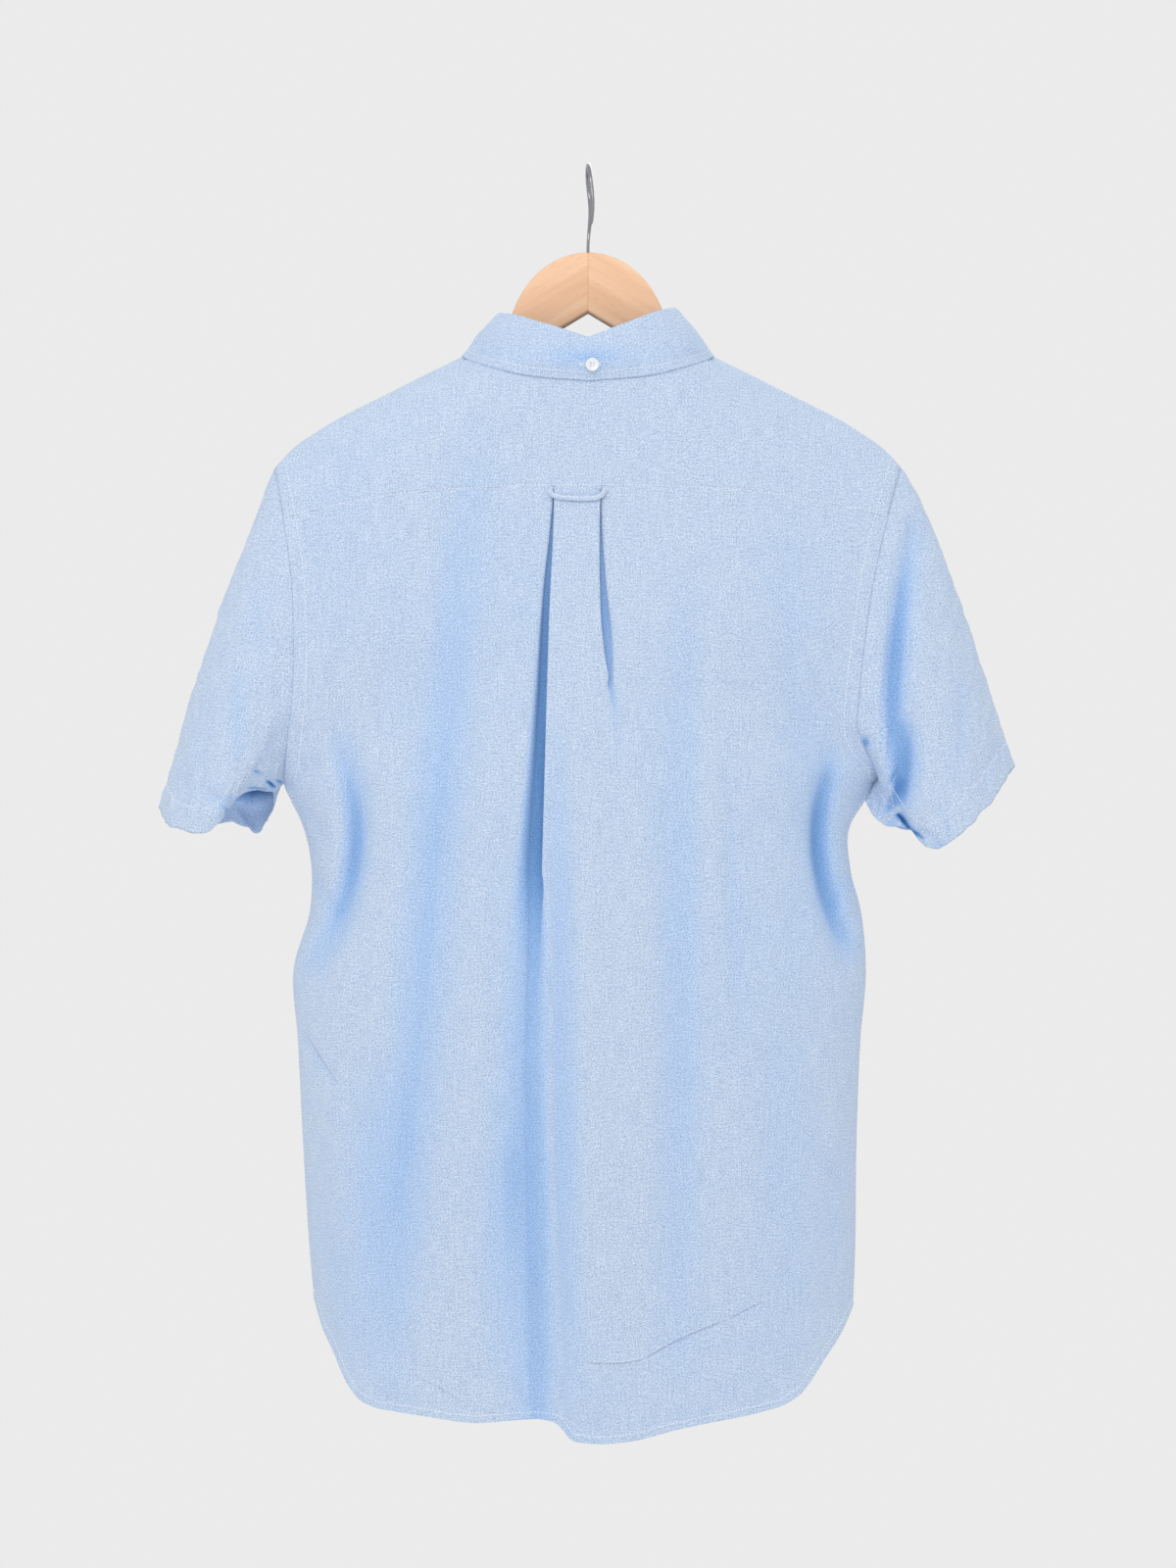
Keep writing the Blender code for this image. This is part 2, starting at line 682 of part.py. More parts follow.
def yoke_grid():
    """The yoke, from the left armhole to the right, and from neck and front seams to the back."""
    rows = YOKE_ROWS
    left, right = armhole_edge(1, rows), armhole_edge(-1, rows)
    ring_x, ring_z, ring_face = neck_ring(ring_angles(YOKE_TURN, -YOKE_TURN, RING_COLUMNS))
    ring_root = ring_face * np.sqrt(np.maximum(shoulder(ring_x) - ring_z, 0))
    seams = []
    for sign, end in ((1, left), (-1, right)):
        x = np.linspace(end[0][0], sign * ring_x[0], SEAM_COLUMNS + 1)[:-1]
        seams.append((x, -np.sqrt(shoulder(x) - front_yoke_line(x))))
    upper = (np.concatenate([seams[0][0], ring_x, seams[1][0][::-1]]),
             np.concatenate([seams[0][1], ring_root, seams[1][1][::-1]]))
    outer, inner = np.linspace(1, 0.42, SEAM_COLUMNS + 1)[:-1], np.linspace(0.42, -0.42, RING_COLUMNS + 1)
    place = np.concatenate([outer, inner, -outer[::-1]])
    lower_x = np.where(place > 0, place * left[0][-1], -place * right[0][-1])
    lower = (lower_x, np.sqrt(shoulder(lower_x) - yoke_line(lower_x)))
    u, v = np.meshgrid(np.linspace(0, 1, len(place)), np.linspace(0, 1, rows + 1), indexing="ij")
    spread = []
    for k in range(2):
        across = (1 - v) * upper[k][:, None] + v * lower[k][:, None]
        along = (1 - u) * left[k][None, :] + u * right[k][None, :]
        corners = (1 - u) * ((1 - v) * upper[k][0] + v * lower[k][0])
        corners = corners + u * ((1 - v) * upper[k][-1] + v * lower[k][-1])
        spread.append(across + along - corners)
    x, root = spread
    z = shoulder(x) - root**2
    points = np.where((root >= 0)[..., None], on_body(x, z, 1), on_body(x, z, -1))
    return trimmed(points, last_row=True)


def armhole_loop(sign):
    """The armhole seam all round, from the front yoke seam over the shoulder, down the back and up again."""
    x, root = armhole_edge(sign, YOKE_ROWS)
    z = shoulder(x) - root**2
    over = np.where((root >= 0)[:, None], on_body(x, z, 1), on_body(x, z, -1))
    down, up = (rows_between(start, SIDE_SEAM_HEM, ROWS_ABOVE, 1)[1:-1] for start in (z[-1], z[0]))
    width_down, width_up = sign * half_width(sign, down), sign * half_width(sign, up)
    loop = np.concatenate([over, on_body(width_down, down, 1), on_body(width_up, up, -1)[-2::-1]])
    pit = len(over) + len(down) - 1
    steps = np.linalg.norm(np.roll(loop, -1, axis=0) - loop, axis=1)
    length = np.concatenate([[0], np.cumsum(steps)])
    top = np.interp(0, root, length[: len(root)])
    s, whole = length[:-1], length[-1]
    past_top = np.where(s < top, s - top + whole, s - top)
    turn = np.interp(past_top, [0, length[pit] - top, whole], [0, 0.5, 1])
    return loop, turn


def sleeve_grid(sign):
    """A sleeve as columns from the armhole to the cuff, all round. Its last column joins its first."""
    head, turn = armhole_loop(sign)
    cuff_rows, folds = (LEFT_CUFF, LEFT_SLEEVE_FOLDS) if sign > 0 else (RIGHT_CUFF, RIGHT_SLEEVE_FOLDS)
    cuff = np.stack([column(cuff_rows, name, turn, key="turn") for name in ("x", "y", "z")], axis=-1)
    v = np.linspace(0, 1, SLEEVE_ROWS + 1)[None, :]
    t = turn[:, None]
    grid = head[:, None] + (cuff - head)[:, None] * v[..., None]
    swell = np.sin(np.pi * v)
    grid[..., 0] += sign * SLEEVE_SWELL * swell * np.cos(np.pi * t) ** 2
    face = np.sin(2 * np.pi * t)
    grid[..., 1] += 5 * swell * face
    for f in folds:
        middle = f.turn0 + (f.turn1 - f.turn0) * (v - f.v0) / (f.v1 - f.v0)
        fade = eased(f.v0, f.v0 + 0.25, v) * (1 - eased(f.v1 - 0.15, f.v1, v) * (f.v1 < 1))
        grid[..., 1] -= f.depth * np.sign(face) * fade * np.exp(-(((t - middle) / f.width) ** 2))
    pinch = (LEFT_UNDERARM if sign > 0 else RIGHT_UNDERARM) * np.exp(-(((turn - 0.5) / 0.13) ** 2))
    grid[:, 0] = cut_back(head, grid[:, 1], 0.5 + pinch, closed=True)
    return grid


# The collar


def fold_point(angle):
    """The collar's fold in space, and the level direction straight out from it."""
    a = np.radians(angle)
    short = 1 - np.abs(np.sin(a))
    behind = np.cos(a) >= 0
    depth = np.where(behind, FOLD_BACK, FOLD_FRONT)
    low = np.where(behind, FOLD_BACK_Z, FOLD_FRONT_Z)
    power = np.where(behind, 1.12, 0.95)
    z = FOLD_SIDE_Z + (low - FOLD_SIDE_Z) * short**power
    point = np.stack([FOLD_HALF * np.sin(a), depth * np.cos(a), z], axis=-1)
    out = unit(np.stack([np.sin(a) / FOLD_HALF, np.cos(a) / depth, 0 * a], axis=-1))
    return point, out


def stand_grid():
    """The collar stand, from its end on the wearer's right, round the back, to its end on the left."""
    end = 180 + math.degrees(math.asin(OVERLAP / NECK_HALF))
    front = ring_angles(YOKE_TURN, end, FRONT_RING_COLUMNS)
    angles = np.concatenate([-front[:0:-1], ring_angles(-YOKE_TURN, YOKE_TURN, RING_COLUMNS), front[1:]])
    low = ring_point(angles)
    high, out = fold_point(angles)
    lap = front_lap(low[:, 0]) * (angles > 90)
    rows = []
    for v in (0.0, 0.35, 0.7, 1.0):
        point = low + (high - low) * v + 1.2 * math.sin(math.pi * v) * out
        point[:, 1] -= lap
        rows.append(point)
    grid = np.stack(rows, axis=1)
    grid[:, 0] = cut_back(grid[:, 0], grid[:, 1], 0.5 + 1.1 * np.sin(np.radians(angles)) ** 4)
    grid[:, -1, 2] -= 0.4
    return grid


def leaf_grid():
    """The collar leaf, from its point on the wearer's right, round the back, to its point on the left."""
    angles = np.linspace(-LEAF_END, LEAF_END, COLLAR_COLUMNS + 1)
    fold, out = fold_point(angles)
    turn = np.abs(angles)
    edge = np.stack([np.sign(angles) * column(LEAF_EDGE, "x", turn, key="angle"),
                     column(LEAF_EDGE, "depth", turn, key="angle"),
                     column(LEAF_EDGE, "z", turn, key="angle")], axis=-1)
    up = np.array([0, 0, 1.0])
    over = LIFT * eased(180 - 40, 180 - 24, turn)[:, None]
    start = fold + over * out + 1.3 * up
    brow = start + 2.4 * out + 0.3 * up
    cheek = start + 3.9 * out - 4.0 * up
    rows = [start, brow, cheek]
    for v in (0.4, 0.7, 1.0):
        rows.append(cheek + (edge - cheek) * v + LEAF_ROLL * math.sin(math.pi * v) * out * (1 - v))
    return np.stack(rows, axis=1)


# Solids


def unit(vectors):
    """Vectors made one long."""
    return vectors / np.maximum(np.linalg.norm(vectors, axis=-1, keepdims=True), 1e-9)


def cut_back(edge, inner, amount, closed=False):
    """An edge's points moved squarely off the seam. inner is the panel's next line of points."""
    if closed:
        seam = unit(np.roll(edge, -1, axis=0) - np.roll(edge, 1, axis=0))
    else:
        seam = unit(np.gradient(edge, axis=0))
    onward = inner - edge
    onward = unit(onward - np.sum(onward * seam, axis=-1, keepdims=True) * seam)
    return edge + np.reshape(amount, (-1, 1)) * onward


def trimmed(grid, last_row=False):
    """A panel's grid cut back from the seams at its side edges, its first row and, if asked, its last."""
    grid = grid.copy()
    grid[0], grid[-1] = cut_back(grid[0], grid[1], SEAM), cut_back(grid[-1], grid[-2], SEAM)
    grid[:, 0] = cut_back(grid[:, 0], grid[:, 1], SEAM)
    if last_row:
        grid[:, -1] = cut_back(grid[:, -1], grid[:, -2], SEAM)
    return grid


def sheet_normals(grid, closed):
    """The normal at each point of a grid, from the faces round it."""
    wide = np.concatenate([grid, grid[:1]]) if closed else grid
    faces = unit(np.cross(wide[1:, 1:] - wide[:-1, :-1], wide[:-1, 1:] - wide[1:, :-1]))
    total = np.zeros_like(grid)
    count = len(grid)
    for i in range(faces.shape[0]):
        for di in (0, 1):
            for dj in (0, 1):
                total[(i + di) % count, dj : dj + faces.shape[1]] += faces[i]
    return unit(total)


def add_object(name, mesh, material):
    """An object of its own, with its material, in the scene."""
    data = bpy.data.meshes.new(name)
    bmesh.ops.recalc_face_normals(mesh, faces=mesh.faces[:])
    mesh.to_mesh(data)
    mesh.free()
    data.materials.append(material)
    thing = bpy.data.objects.new(name, data)
    bpy.context.scene.collection.objects.link(thing)
    return thing


def add_wall(name, grid, material, closed=False, wall=WALL):
    """A grid of points made a wall with its thickness half on either side."""
    off = sheet_normals(grid, closed) * wall / 2
    mesh = bmesh.new()
    sides = []
    for points in (grid + off, grid - off):
        sides.append([[mesh.verts.new(p * MM) for p in line] for line in points])
    outer, inner = sides
    columns, rows = grid.shape[0], grid.shape[1]
    for i in range(columns if closed else columns - 1):
        k = (i + 1) % columns
        for j in range(rows - 1):
            mesh.faces.new((outer[i][j], outer[k][j], outer[k][j + 1], outer[i][j + 1]))
            mesh.faces.new((inner[i][j], inner[i][j + 1], inner[k][j + 1], inner[k][j]))
        for j in (0, rows - 1):
            mesh.faces.new((outer[i][j], inner[i][j], inner[k][j], outer[k][j]))
    if not closed:
        for i in (0, columns - 1):
            for j in range(rows - 1):
                mesh.faces.new((outer[i][j], outer[i][j + 1], inner[i][j + 1], inner[i][j]))
    return add_object(name, mesh, material)


def add_loft(name, rings, material):
    """A closed solid through rings of points, with flat ends."""
    mesh = bmesh.new()
    lines = [[mesh.verts.new(np.asarray(p) * MM) for p in ring] for ring in rings]
    count = len(lines[0])
    for here, after in zip(lines, lines[1:]):
        for i in range(count):
            k = (i + 1) % count
            mesh.faces.new((here[i], here[k], after[k], after[i]))
    mesh.faces.new(lines[0])
    mesh.faces.new(lines[-1])
    return add_object(name, mesh, material)


def sweep_rings(path, wide, tall, side, sides):
    """Rings of an oval section along a path, whose half width, wide, keeps to the direction side."""
    path = np.asarray(path, float)
    along = unit(np.gradient(path, axis=0))
    rings = []
    for point, forward in zip(path, along):
        across = unit(np.asarray(side, float) - forward * np.dot(side, forward))
        up = np.cross(forward, across)
        angles = np.linspace(0, 2 * np.pi, sides, endpoint=False) + np.pi / sides
        rings.append([point + wide * math.cos(a) * across + tall * math.sin(a) * up for a in angles])
    return rings


# The hanger


def hanger_section(x):
    """(top, bottom) of the wooden arm at a distance from its middle."""
    top = HUMP_TOP - HUMP_HEIGHT + HUMP_HEIGHT * math.sqrt(max(1 - (x / HUMP_WIDTH) ** 2, 0))
    if x > 0.9 * HUMP_WIDTH:
        under_cloth = float(shoulder(x)) - WOOD_CLEAR
        top = max(top, under_cloth) if x < HUMP_WIDTH else under_cloth
    slope = (ARM_TIP_LOW - NOTCH_EDGE_LOW) / (ARM_TIP - NOTCH_EDGE)
    if x < NOTCH_EDGE:
        bottom = NOTCH_TOP + (NOTCH_EDGE_LOW - NOTCH_TOP) * x / NOTCH_EDGE
    else:
        bottom = NOTCH_EDGE_LOW + slope * (x - NOTCH_EDGE)
    return top, bottom


def add_arm(name, sign, material):
    """One half of the wooden hanger, from the glued mitre to its tip."""
    rings = []
    for x, shrink in ARM_STATIONS:
        top, bottom = hanger_section(x)
        middle, half = (top + bottom) / 2, (top - bottom) / 2 * shrink
        thick = WOOD_THICKNESS / 2 * shrink
        radius = min(WOOD_ROUND * shrink, half * 0.95)
        ring = []
        for corner in range(4):
            cy = (1, -1, -1, 1)[corner] * (thick - radius)
            cz = (1, 1, -1, -1)[corner] * (half - radius)
            for step in range(3):
                a = math.pi / 2 * (corner + step / 2)
                ring.append((sign * x, cy + radius * math.cos(a), middle + cz + radius * math.sin(a)))
        rings.append(ring)
    add_loft(name, rings, material)


def add_hook(material):
    """The wire hook, from the top of the wood, round a rail and down to its free end."""
    path = [(0, HUMP_TOP + 0.25), (0, HUMP_TOP + 6)]
    for p in HOOK_STEM:
        path.append((p.y, p.z))
    for step in range(15):
        a = math.radians(212 - (212 + 4) * step / 14)
        path.append((HOOK_BEND * math.cos(a), HOOK_BEND * math.sin(a) + WIRE - HOOK_BEND))
    for p in HOOK_TAIL:
        path.append((p.y, p.z))
    turned = [(-y * math.sin(HOOK_TURN), y * math.cos(HOOK_TURN), z) for y, z in path]
    rings = sweep_rings(turned, WIRE, WIRE, (math.cos(HOOK_TURN), math.sin(HOOK_TURN), 0), 10)
    add_loft("hanger_hook", rings, material)


# The trimmings


def add_button(name, place, facing, material):
    """A four-hole button with a raised rim. place is the middle of its back, facing out of its face."""
    facing = Vector(facing).normalized()
    across = Vector((0, 0, 1)).cross(facing).normalized()
    spin = Matrix((across, facing.cross(across), facing)).transposed().to_4x4()
    spin.translation = Vector(place)
    mesh = bmesh.new()

    def circle(radius, height, sides, x=0.0, y=0.0):
        turns = [2 * math.pi * (i + 0.5) / sides for i in range(sides)]
        spots = [Vector((x + radius * math.cos(a), y + radius * math.sin(a), height)) for a in turns]
        return [mesh.verts.new((spin @ spot) * MM) for spot in spots]

    def walled(here, after):
        for i in range(len(here)):
            k = (i + 1) % len(here)
            mesh.faces.new((here[i], here[k], after[k], after[i]))

    rings = [circle(r.radius, r.height, BUTTON_SIDES) for r in BUTTON_PROFILE]
    for here, after in zip(rings, rings[1:]):
        walled(here, after)
    ends = [[rings[0]], [rings[-1]]]
    for x, y in ((1, 1), (-1, 1), (-1, -1), (1, -1)):
        x, y = x * HOLE_OFF * math.sqrt(0.5), y * HOLE_OFF * math.sqrt(0.5)
        low = circle(HOLE_R, BUTTON_PROFILE[0].height, HOLE_SIDES, x, y)
        high = circle(HOLE_R, BUTTON_PROFILE[-1].height, HOLE_SIDES, x, y)
        walled(low, high)
        ends[0].append(low)
        ends[1].append(high)
    for loops in ends:
        edges = []
        for line in loops:
            edges += [mesh.edges.get((line[i], line[(i + 1) % len(line)])) for i in range(len(line))]
        bmesh.ops.triangle_fill(mesh, edges=edges, use_beauty=True, normal=facing)
    return add_object(name, mesh, material)


def at_sheet(grid, column_at, row_at):
    """The point and the normal of a grid at a fractional column and row."""
    normals = sheet_normals(grid, False)
    i, j = int(column_at), int(row_at)
    s, t = column_at - i, row_at - j
    found = []
    for values in (grid, normals):
        low = (1 - s) * values[i, j] + s * values[i + 1, j]
        high = (1 - s) * values[i, j + 1] + s * values[i + 1, j + 1]
        found.append((1 - t) * low + t * high)
    return found[0], unit(found[1])


def add_buttons(leaf, stand, material):
    """The collar's four buttons and the front's, each on the outer face of the cloth under it."""
    rest = WALL / 2 + BUTTON_REST
    spots = []
    columns = len(leaf) - 1
    middle = columns * (0.5 + COLLAR_BUTTON_X / 51 * 30 / (2 * LEAF_END))
    for name, i, j in (("button_collar_back", middle, 3.9), ("button_collar_right", 0.62, 4.35),
                       ("button_collar_left", columns - 0.62, 4.35)):
        spots.append((name, *at_sheet(leaf, i, j)))
    end = 180 + math.degrees(math.asin(OVERLAP / NECK_HALF))
    front = ring_angles(YOKE_TURN, end, FRONT_RING_COLUMNS)
    centre = len(stand) - 1 - np.interp(end - 180, end - front[::-1], np.arange(len(front)))
    spots.append(("button_neck", *at_sheet(stand, centre, 1.6)))
    for i, z in enumerate(FRONT_BUTTONS):
        above, below = on_body(0.0, z + BUTTON_R, -1, LIFT), on_body(0.0, z - BUTTON_R, -1, LIFT)
        facing = unit(np.cross([1.0, 0, 0], above - below))
        spots.append((f"button_front_{i + 1}", (above + below) / 2, facing))
    for name, point, normal in spots:
        outwards = normal if np.dot(normal, point * (1, 1, 0)) > 0 else -normal
        add_button(name, point + outwards * rest, outwards, material)


def add_locker_loop(material):
    """The narrow band sewn into the yoke seam over the box pleat."""
    path = [on_body(p.x, p.z, 1, 0.0) + np.array([0, p.lift, 0]) for p in LOCKER_LOOP]
    rings = sweep_rings(path, LOOP_THICK / 2, LOOP_TALL / 2, (0, 1, 0), 8)
    add_loft("locker_loop", rings, material)


def make_material(name, colour, rough, metallic=0.0):
    """A plain finish for one sub-part."""
    material = bpy.data.materials.new(name)
    material.use_nodes = True
    shader = next(n for n in material.node_tree.nodes if n.type == "BSDF_PRINCIPLED")
    shader.inputs["Base Color"].default_value = (*colour, 1)
    shader.inputs["Roughness"].default_value = rough
    shader.inputs["Metallic"].default_value = metallic
    return material


def main():
    """Build every sub-part."""
    for old in list(bpy.data.objects):
        bpy.data.objects.remove(old, do_unlink=True)

    def cloth(part):
        return make_material("oxford_" + part, (0.5, 0.62, 0.8), 0.85)

    add_wall("back", back_grid(), cloth("back"))
    add_wall("yoke", yoke_grid(), cloth("yoke"))
    for side, sign in (("left", 1), ("right", -1)):
        add_wall("front_" + side, front_grid(sign), cloth("front_" + side))
        add_wall("sleeve_" + side, sleeve_grid(sign), cloth("sleeve_" + side), closed=True)
    leaf, stand = leaf_grid(), stand_grid()
    add_wall("collar_stand", stand, cloth("collar_stand"))
    add_wall("collar_leaf", leaf, cloth("collar_leaf"))
    add_locker_loop(cloth("locker_loop"))
    add_buttons(leaf, stand, make_material("button_white", (0.85, 0.85, 0.83), 0.3))
    add_arm("hanger_arm_left", 1, make_material("beech_left", (0.78, 0.55, 0.38), 0.45))
    add_arm("hanger_arm_right", -1, make_material("beech_right", (0.78, 0.55, 0.38), 0.45))
    add_hook(make_material("chromed_wire", (0.8, 0.8, 0.82), 0.15, 1.0))


main()
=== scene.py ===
"""A short-sleeved oxford shirt hung on a wooden hanger, dressed in cloth, thread, resin, wood and wire.

Frame: +Z up. The wearer faces -Y and +X is the wearer's left, so the back of the shirt faces +Y. The origin
is the underside of the hook's bend. Lengths in the tables are millimetres, and MM turns them into metres.
"""

import logging
import math
from contextlib import contextmanager
from dataclasses import dataclass, field
from enum import Enum
from functools import partial, partialmethod
from typing import Any, Iterator, Sequence

import bmesh
import bpy
import numpy as np
from mathutils import Matrix, Vector


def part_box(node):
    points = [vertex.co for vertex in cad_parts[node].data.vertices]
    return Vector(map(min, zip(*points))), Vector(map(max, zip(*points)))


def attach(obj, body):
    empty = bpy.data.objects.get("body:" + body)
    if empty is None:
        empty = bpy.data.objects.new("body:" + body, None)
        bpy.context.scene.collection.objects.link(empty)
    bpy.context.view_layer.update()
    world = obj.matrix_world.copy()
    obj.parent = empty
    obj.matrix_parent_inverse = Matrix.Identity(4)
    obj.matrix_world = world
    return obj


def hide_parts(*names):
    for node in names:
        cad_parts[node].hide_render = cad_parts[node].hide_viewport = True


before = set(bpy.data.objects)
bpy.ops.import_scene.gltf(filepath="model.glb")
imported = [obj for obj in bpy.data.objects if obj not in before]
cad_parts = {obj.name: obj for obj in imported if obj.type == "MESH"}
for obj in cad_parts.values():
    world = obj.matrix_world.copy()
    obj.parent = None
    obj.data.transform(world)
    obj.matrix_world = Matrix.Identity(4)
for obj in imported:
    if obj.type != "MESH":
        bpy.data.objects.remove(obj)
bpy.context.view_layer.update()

LOG = logging.getLogger("shirt")
MM = 0.001
Floats = np.ndarray
Colour = tuple[float, float, float, float]


class Side(Enum):
    """The wearer's left, towards +X, or right."""

    LEFT = 1
    RIGHT = -1


class Face(Enum):
    """The back of the body, towards +Y, or its front."""

    BACK = 1
    FRONT = -1


class Edge(Enum):
    """An edge of a sheet's grid of points."""

    FIRST_COLUMN = "first column"
    LAST_COLUMN = "last column"
    FIRST_ROW = "first row"
    LAST_ROW = "last row"


SIDES = (Edge.FIRST_COLUMN, Edge.LAST_COLUMN)


class Held(Enum):
    """How a sheet of cloth is held."""

    HUNG = "hung"
    FOLDED = "folded"
    STRETCHED = "stretched"


# Curves, tables and noise


def unit(vectors: Floats) -> Floats:
    """Vectors made one long."""
    return vectors / np.maximum(np.linalg.norm(vectors, axis=-1, keepdims=True), 1e-9)


def eased(low: float, high: float, at: Floats | float) -> Floats:
    """0 before low, 1 after high, and an even ease between them."""
    t = np.clip((np.asarray(at, float) - low) / (high - low), 0, 1)
    return t * t * (3 - 2 * t)


def smooth(keys: Sequence[float], values: Sequence[float], at: Floats | float) -> Floats:
    """A smooth curve through a table's values, held level past its ends.

    Args:
        keys: Where the values stand, in any order.
        values: The values, which may have further axes.
        at: Where the curve is wanted.

    Returns:
        The curve's values there.
    """
    keys, values, at = np.asarray(keys, float), np.asarray(values, float), np.asarray(at, float)
    order = np.argsort(keys)
    keys, values = keys[order], values[order]
    slopes = np.gradient(values, keys, axis=0)
    at = np.clip(at, keys[0], keys[-1])
    i = np.clip(np.searchsorted(keys, at) - 1, 0, len(keys) - 2)
    shape = at.shape + (1,) * (values.ndim - 1)
    span = (keys[i + 1] - keys[i]).reshape(shape)
    t = (at - keys[i]).reshape(shape) / span
    start, end = slopes[i] * span, slopes[i + 1] * span
    rise = values[i + 1] - values[i]
    return values[i] + t * (start + t * (3 * rise - 2 * start - end + t * (start + end - 2 * rise)))


def finer(coarse: Floats, spans: int | Sequence[int]) -> Floats:
    """Fractional places along a row of coarse points, with each span parted evenly.

    Args:
        coarse: The coarse points, of which only the number counts.
        spans: Parts to each span: one number, or one for each.

    Returns:
        Rising places from 0 to the last coarse point.
    """
    count = len(coarse) - 1
    parts = [spans] * count if isinstance(spans, int) else list(spans)
    places = [i + np.arange(n) / n for i, n in zip(range(count), parts)]
    return np.concatenate(places + [np.array([float(count)])])


def lengths(points: Floats, axis: int = 0) -> Floats:
    """How far the points of lines lie from the first one, along the line.

    Args:
        points: The points, [..., xyz].
        axis: The axis that runs along a line.

    Returns:
        Rising lengths from 0.
    """
    steps = np.linalg.norm(np.diff(points, axis=axis), axis=-1)
    zero = np.zeros_like(steps[:1] if axis == 0 else steps[:, :1])
    return np.concatenate([zero, np.cumsum(steps, axis=axis)], axis=axis)


def lumps(x: Floats, y: Floats, seed: int) -> Floats:
    """Soft random hills and hollows a unit apart, from -1 to 1, the same on every run.

    Args:
        x: Places along one axis.
        y: Places along the other.
        seed: Which pattern.

    Returns:
        The heights there.
    """
    size = 64
    table = np.random.default_rng(seed).uniform(-1, 1, (size, size))
    x, y = np.broadcast_arrays(np.asarray(x, float), np.asarray(y, float))
    i, j = np.floor(x).astype(int), np.floor(y).astype(int)
    s, t = x - i, y - j
    s, t = s * s * (3 - 2 * s), t * t * (3 - 2 * t)
    low = (1 - s) * table[i % size, j % size] + s * table[(i + 1) % size, j % size]
    high = (1 - s) * table[i % size, (j + 1) % size] + s * table[(i + 1) % size, (j + 1) % size]
    return (1 - t) * low + t * high


class Table:
    """Rows of numbers with named columns, read as smooth curves over the first column."""

    def __init__(self, names: str, *rows: tuple[float, ...]) -> None:
        """Keeps the rows by column."""
        self.names = names.split()
        self.columns = dict(zip(self.names, np.array(rows, float).T))

    def at(self, name: str, key: Floats | float) -> Floats:
        """One column at given values of the first one."""
        return smooth(self.columns[self.names[0]], self.columns[name], key)


# The shirt's form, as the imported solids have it


ARMPIT = -452.0
SIDE_SEAM_HEM = -832.0
HEM_LEVEL = -900.0
YOKE_BACK, YOKE_SIDE_DROP, YOKE_HALF, YOKE_POWER = -238.5, 20.0, 216.0, 2.6
YOKE_FRONT_DROP, YOKE_FRONT_SLANT = 22.0, 6.0
NECK_HALF, NECK_DROP_BACK, NECK_DROP_FRONT, FRONT_NECK_POWER = 68.0, 62.0, 104.0, 0.85
OVERLAP = 17.0
LIFT = 1.85
# Fold depths in millimetres that give a painted shade of -1, on the back and on the front.
SHADE_TONE_DEPTH, FRONT_SHADE_TONE_DEPTH = 13.0, 19.0
RIDGE_RADIUS = 7.5
PLEAT_CLEAR = 20.0
SIDE_COLUMNS = PLEAT_COLUMNS = 9
SETTLING = 40
CALMING = 60
FACES_TRIED = 400
FOLD_POINTS, FOLD_REACH, FOLD_FADE = 33, 3.0, 0.7
UNEVEN = ((0.9, 46.0, 150.0), (0.22, 13.0, 31.0))  # height, and size across and down

BODY = Table(
    "z left right back front",
    (-222, 230, 229, 50, 58), (-260, 222, 218, 51, 61), (-300, 216, 208.5, 54, 64),
    (-345, 214, 201.5, 57, 67),
    (-390, 215, 197, 60, 70), (-414, 218, 196.5, 62, 71), (-428, 220, 203, 63, 72),
    (-443, 222, 214, 63.5, 72.5),
    (-453, 223, 210, 64, 73), (-465, 218, 203.5, 64.5, 73.5),
    (-482, 210, 193, 65, 74), (-515, 203, 192.5, 65, 75), (-545, 204, 200, 66, 75), (-588, 216, 204, 67, 75),
    (-640, 213, 200, 67, 75),
    (-720, 209, 197, 65, 73), (-800, 204, 196, 62, 70), (-860, 198, 193, 60, 67), (-940, 190, 188, 58, 64),
)
SHOULDER = Table(
    "x z", (0, -92.5), (70, -128.5), (144, -165.2), (198, -194), (218, -208.4), (231, -223), (240, -238)
)
BACK_HEM = Table(
    "x z",
    (200, SIDE_SEAM_HEM), (196, -849), (190, -865), (183, -884.5), (175, -897.5), (162, -905), (146, -907.5),
    (120, -910.5), (85, -914), (50, -911.5), (34, -911.5), (24, -914),
    (12, -926.5), (4, -928), (-30, -927), (-64, -919), (-100, -912.5), (-116, -910), (-130, -907),
    (-145, -903), (-159, -894), (-174, -871.5), (-188, -849), (-195.5, SIDE_SEAM_HEM),
)
FRONT_HEM = Table("x z", (200, SIDE_SEAM_HEM), (188, -860), (162, -884), (110, -897), (50, -903), (0, -905))
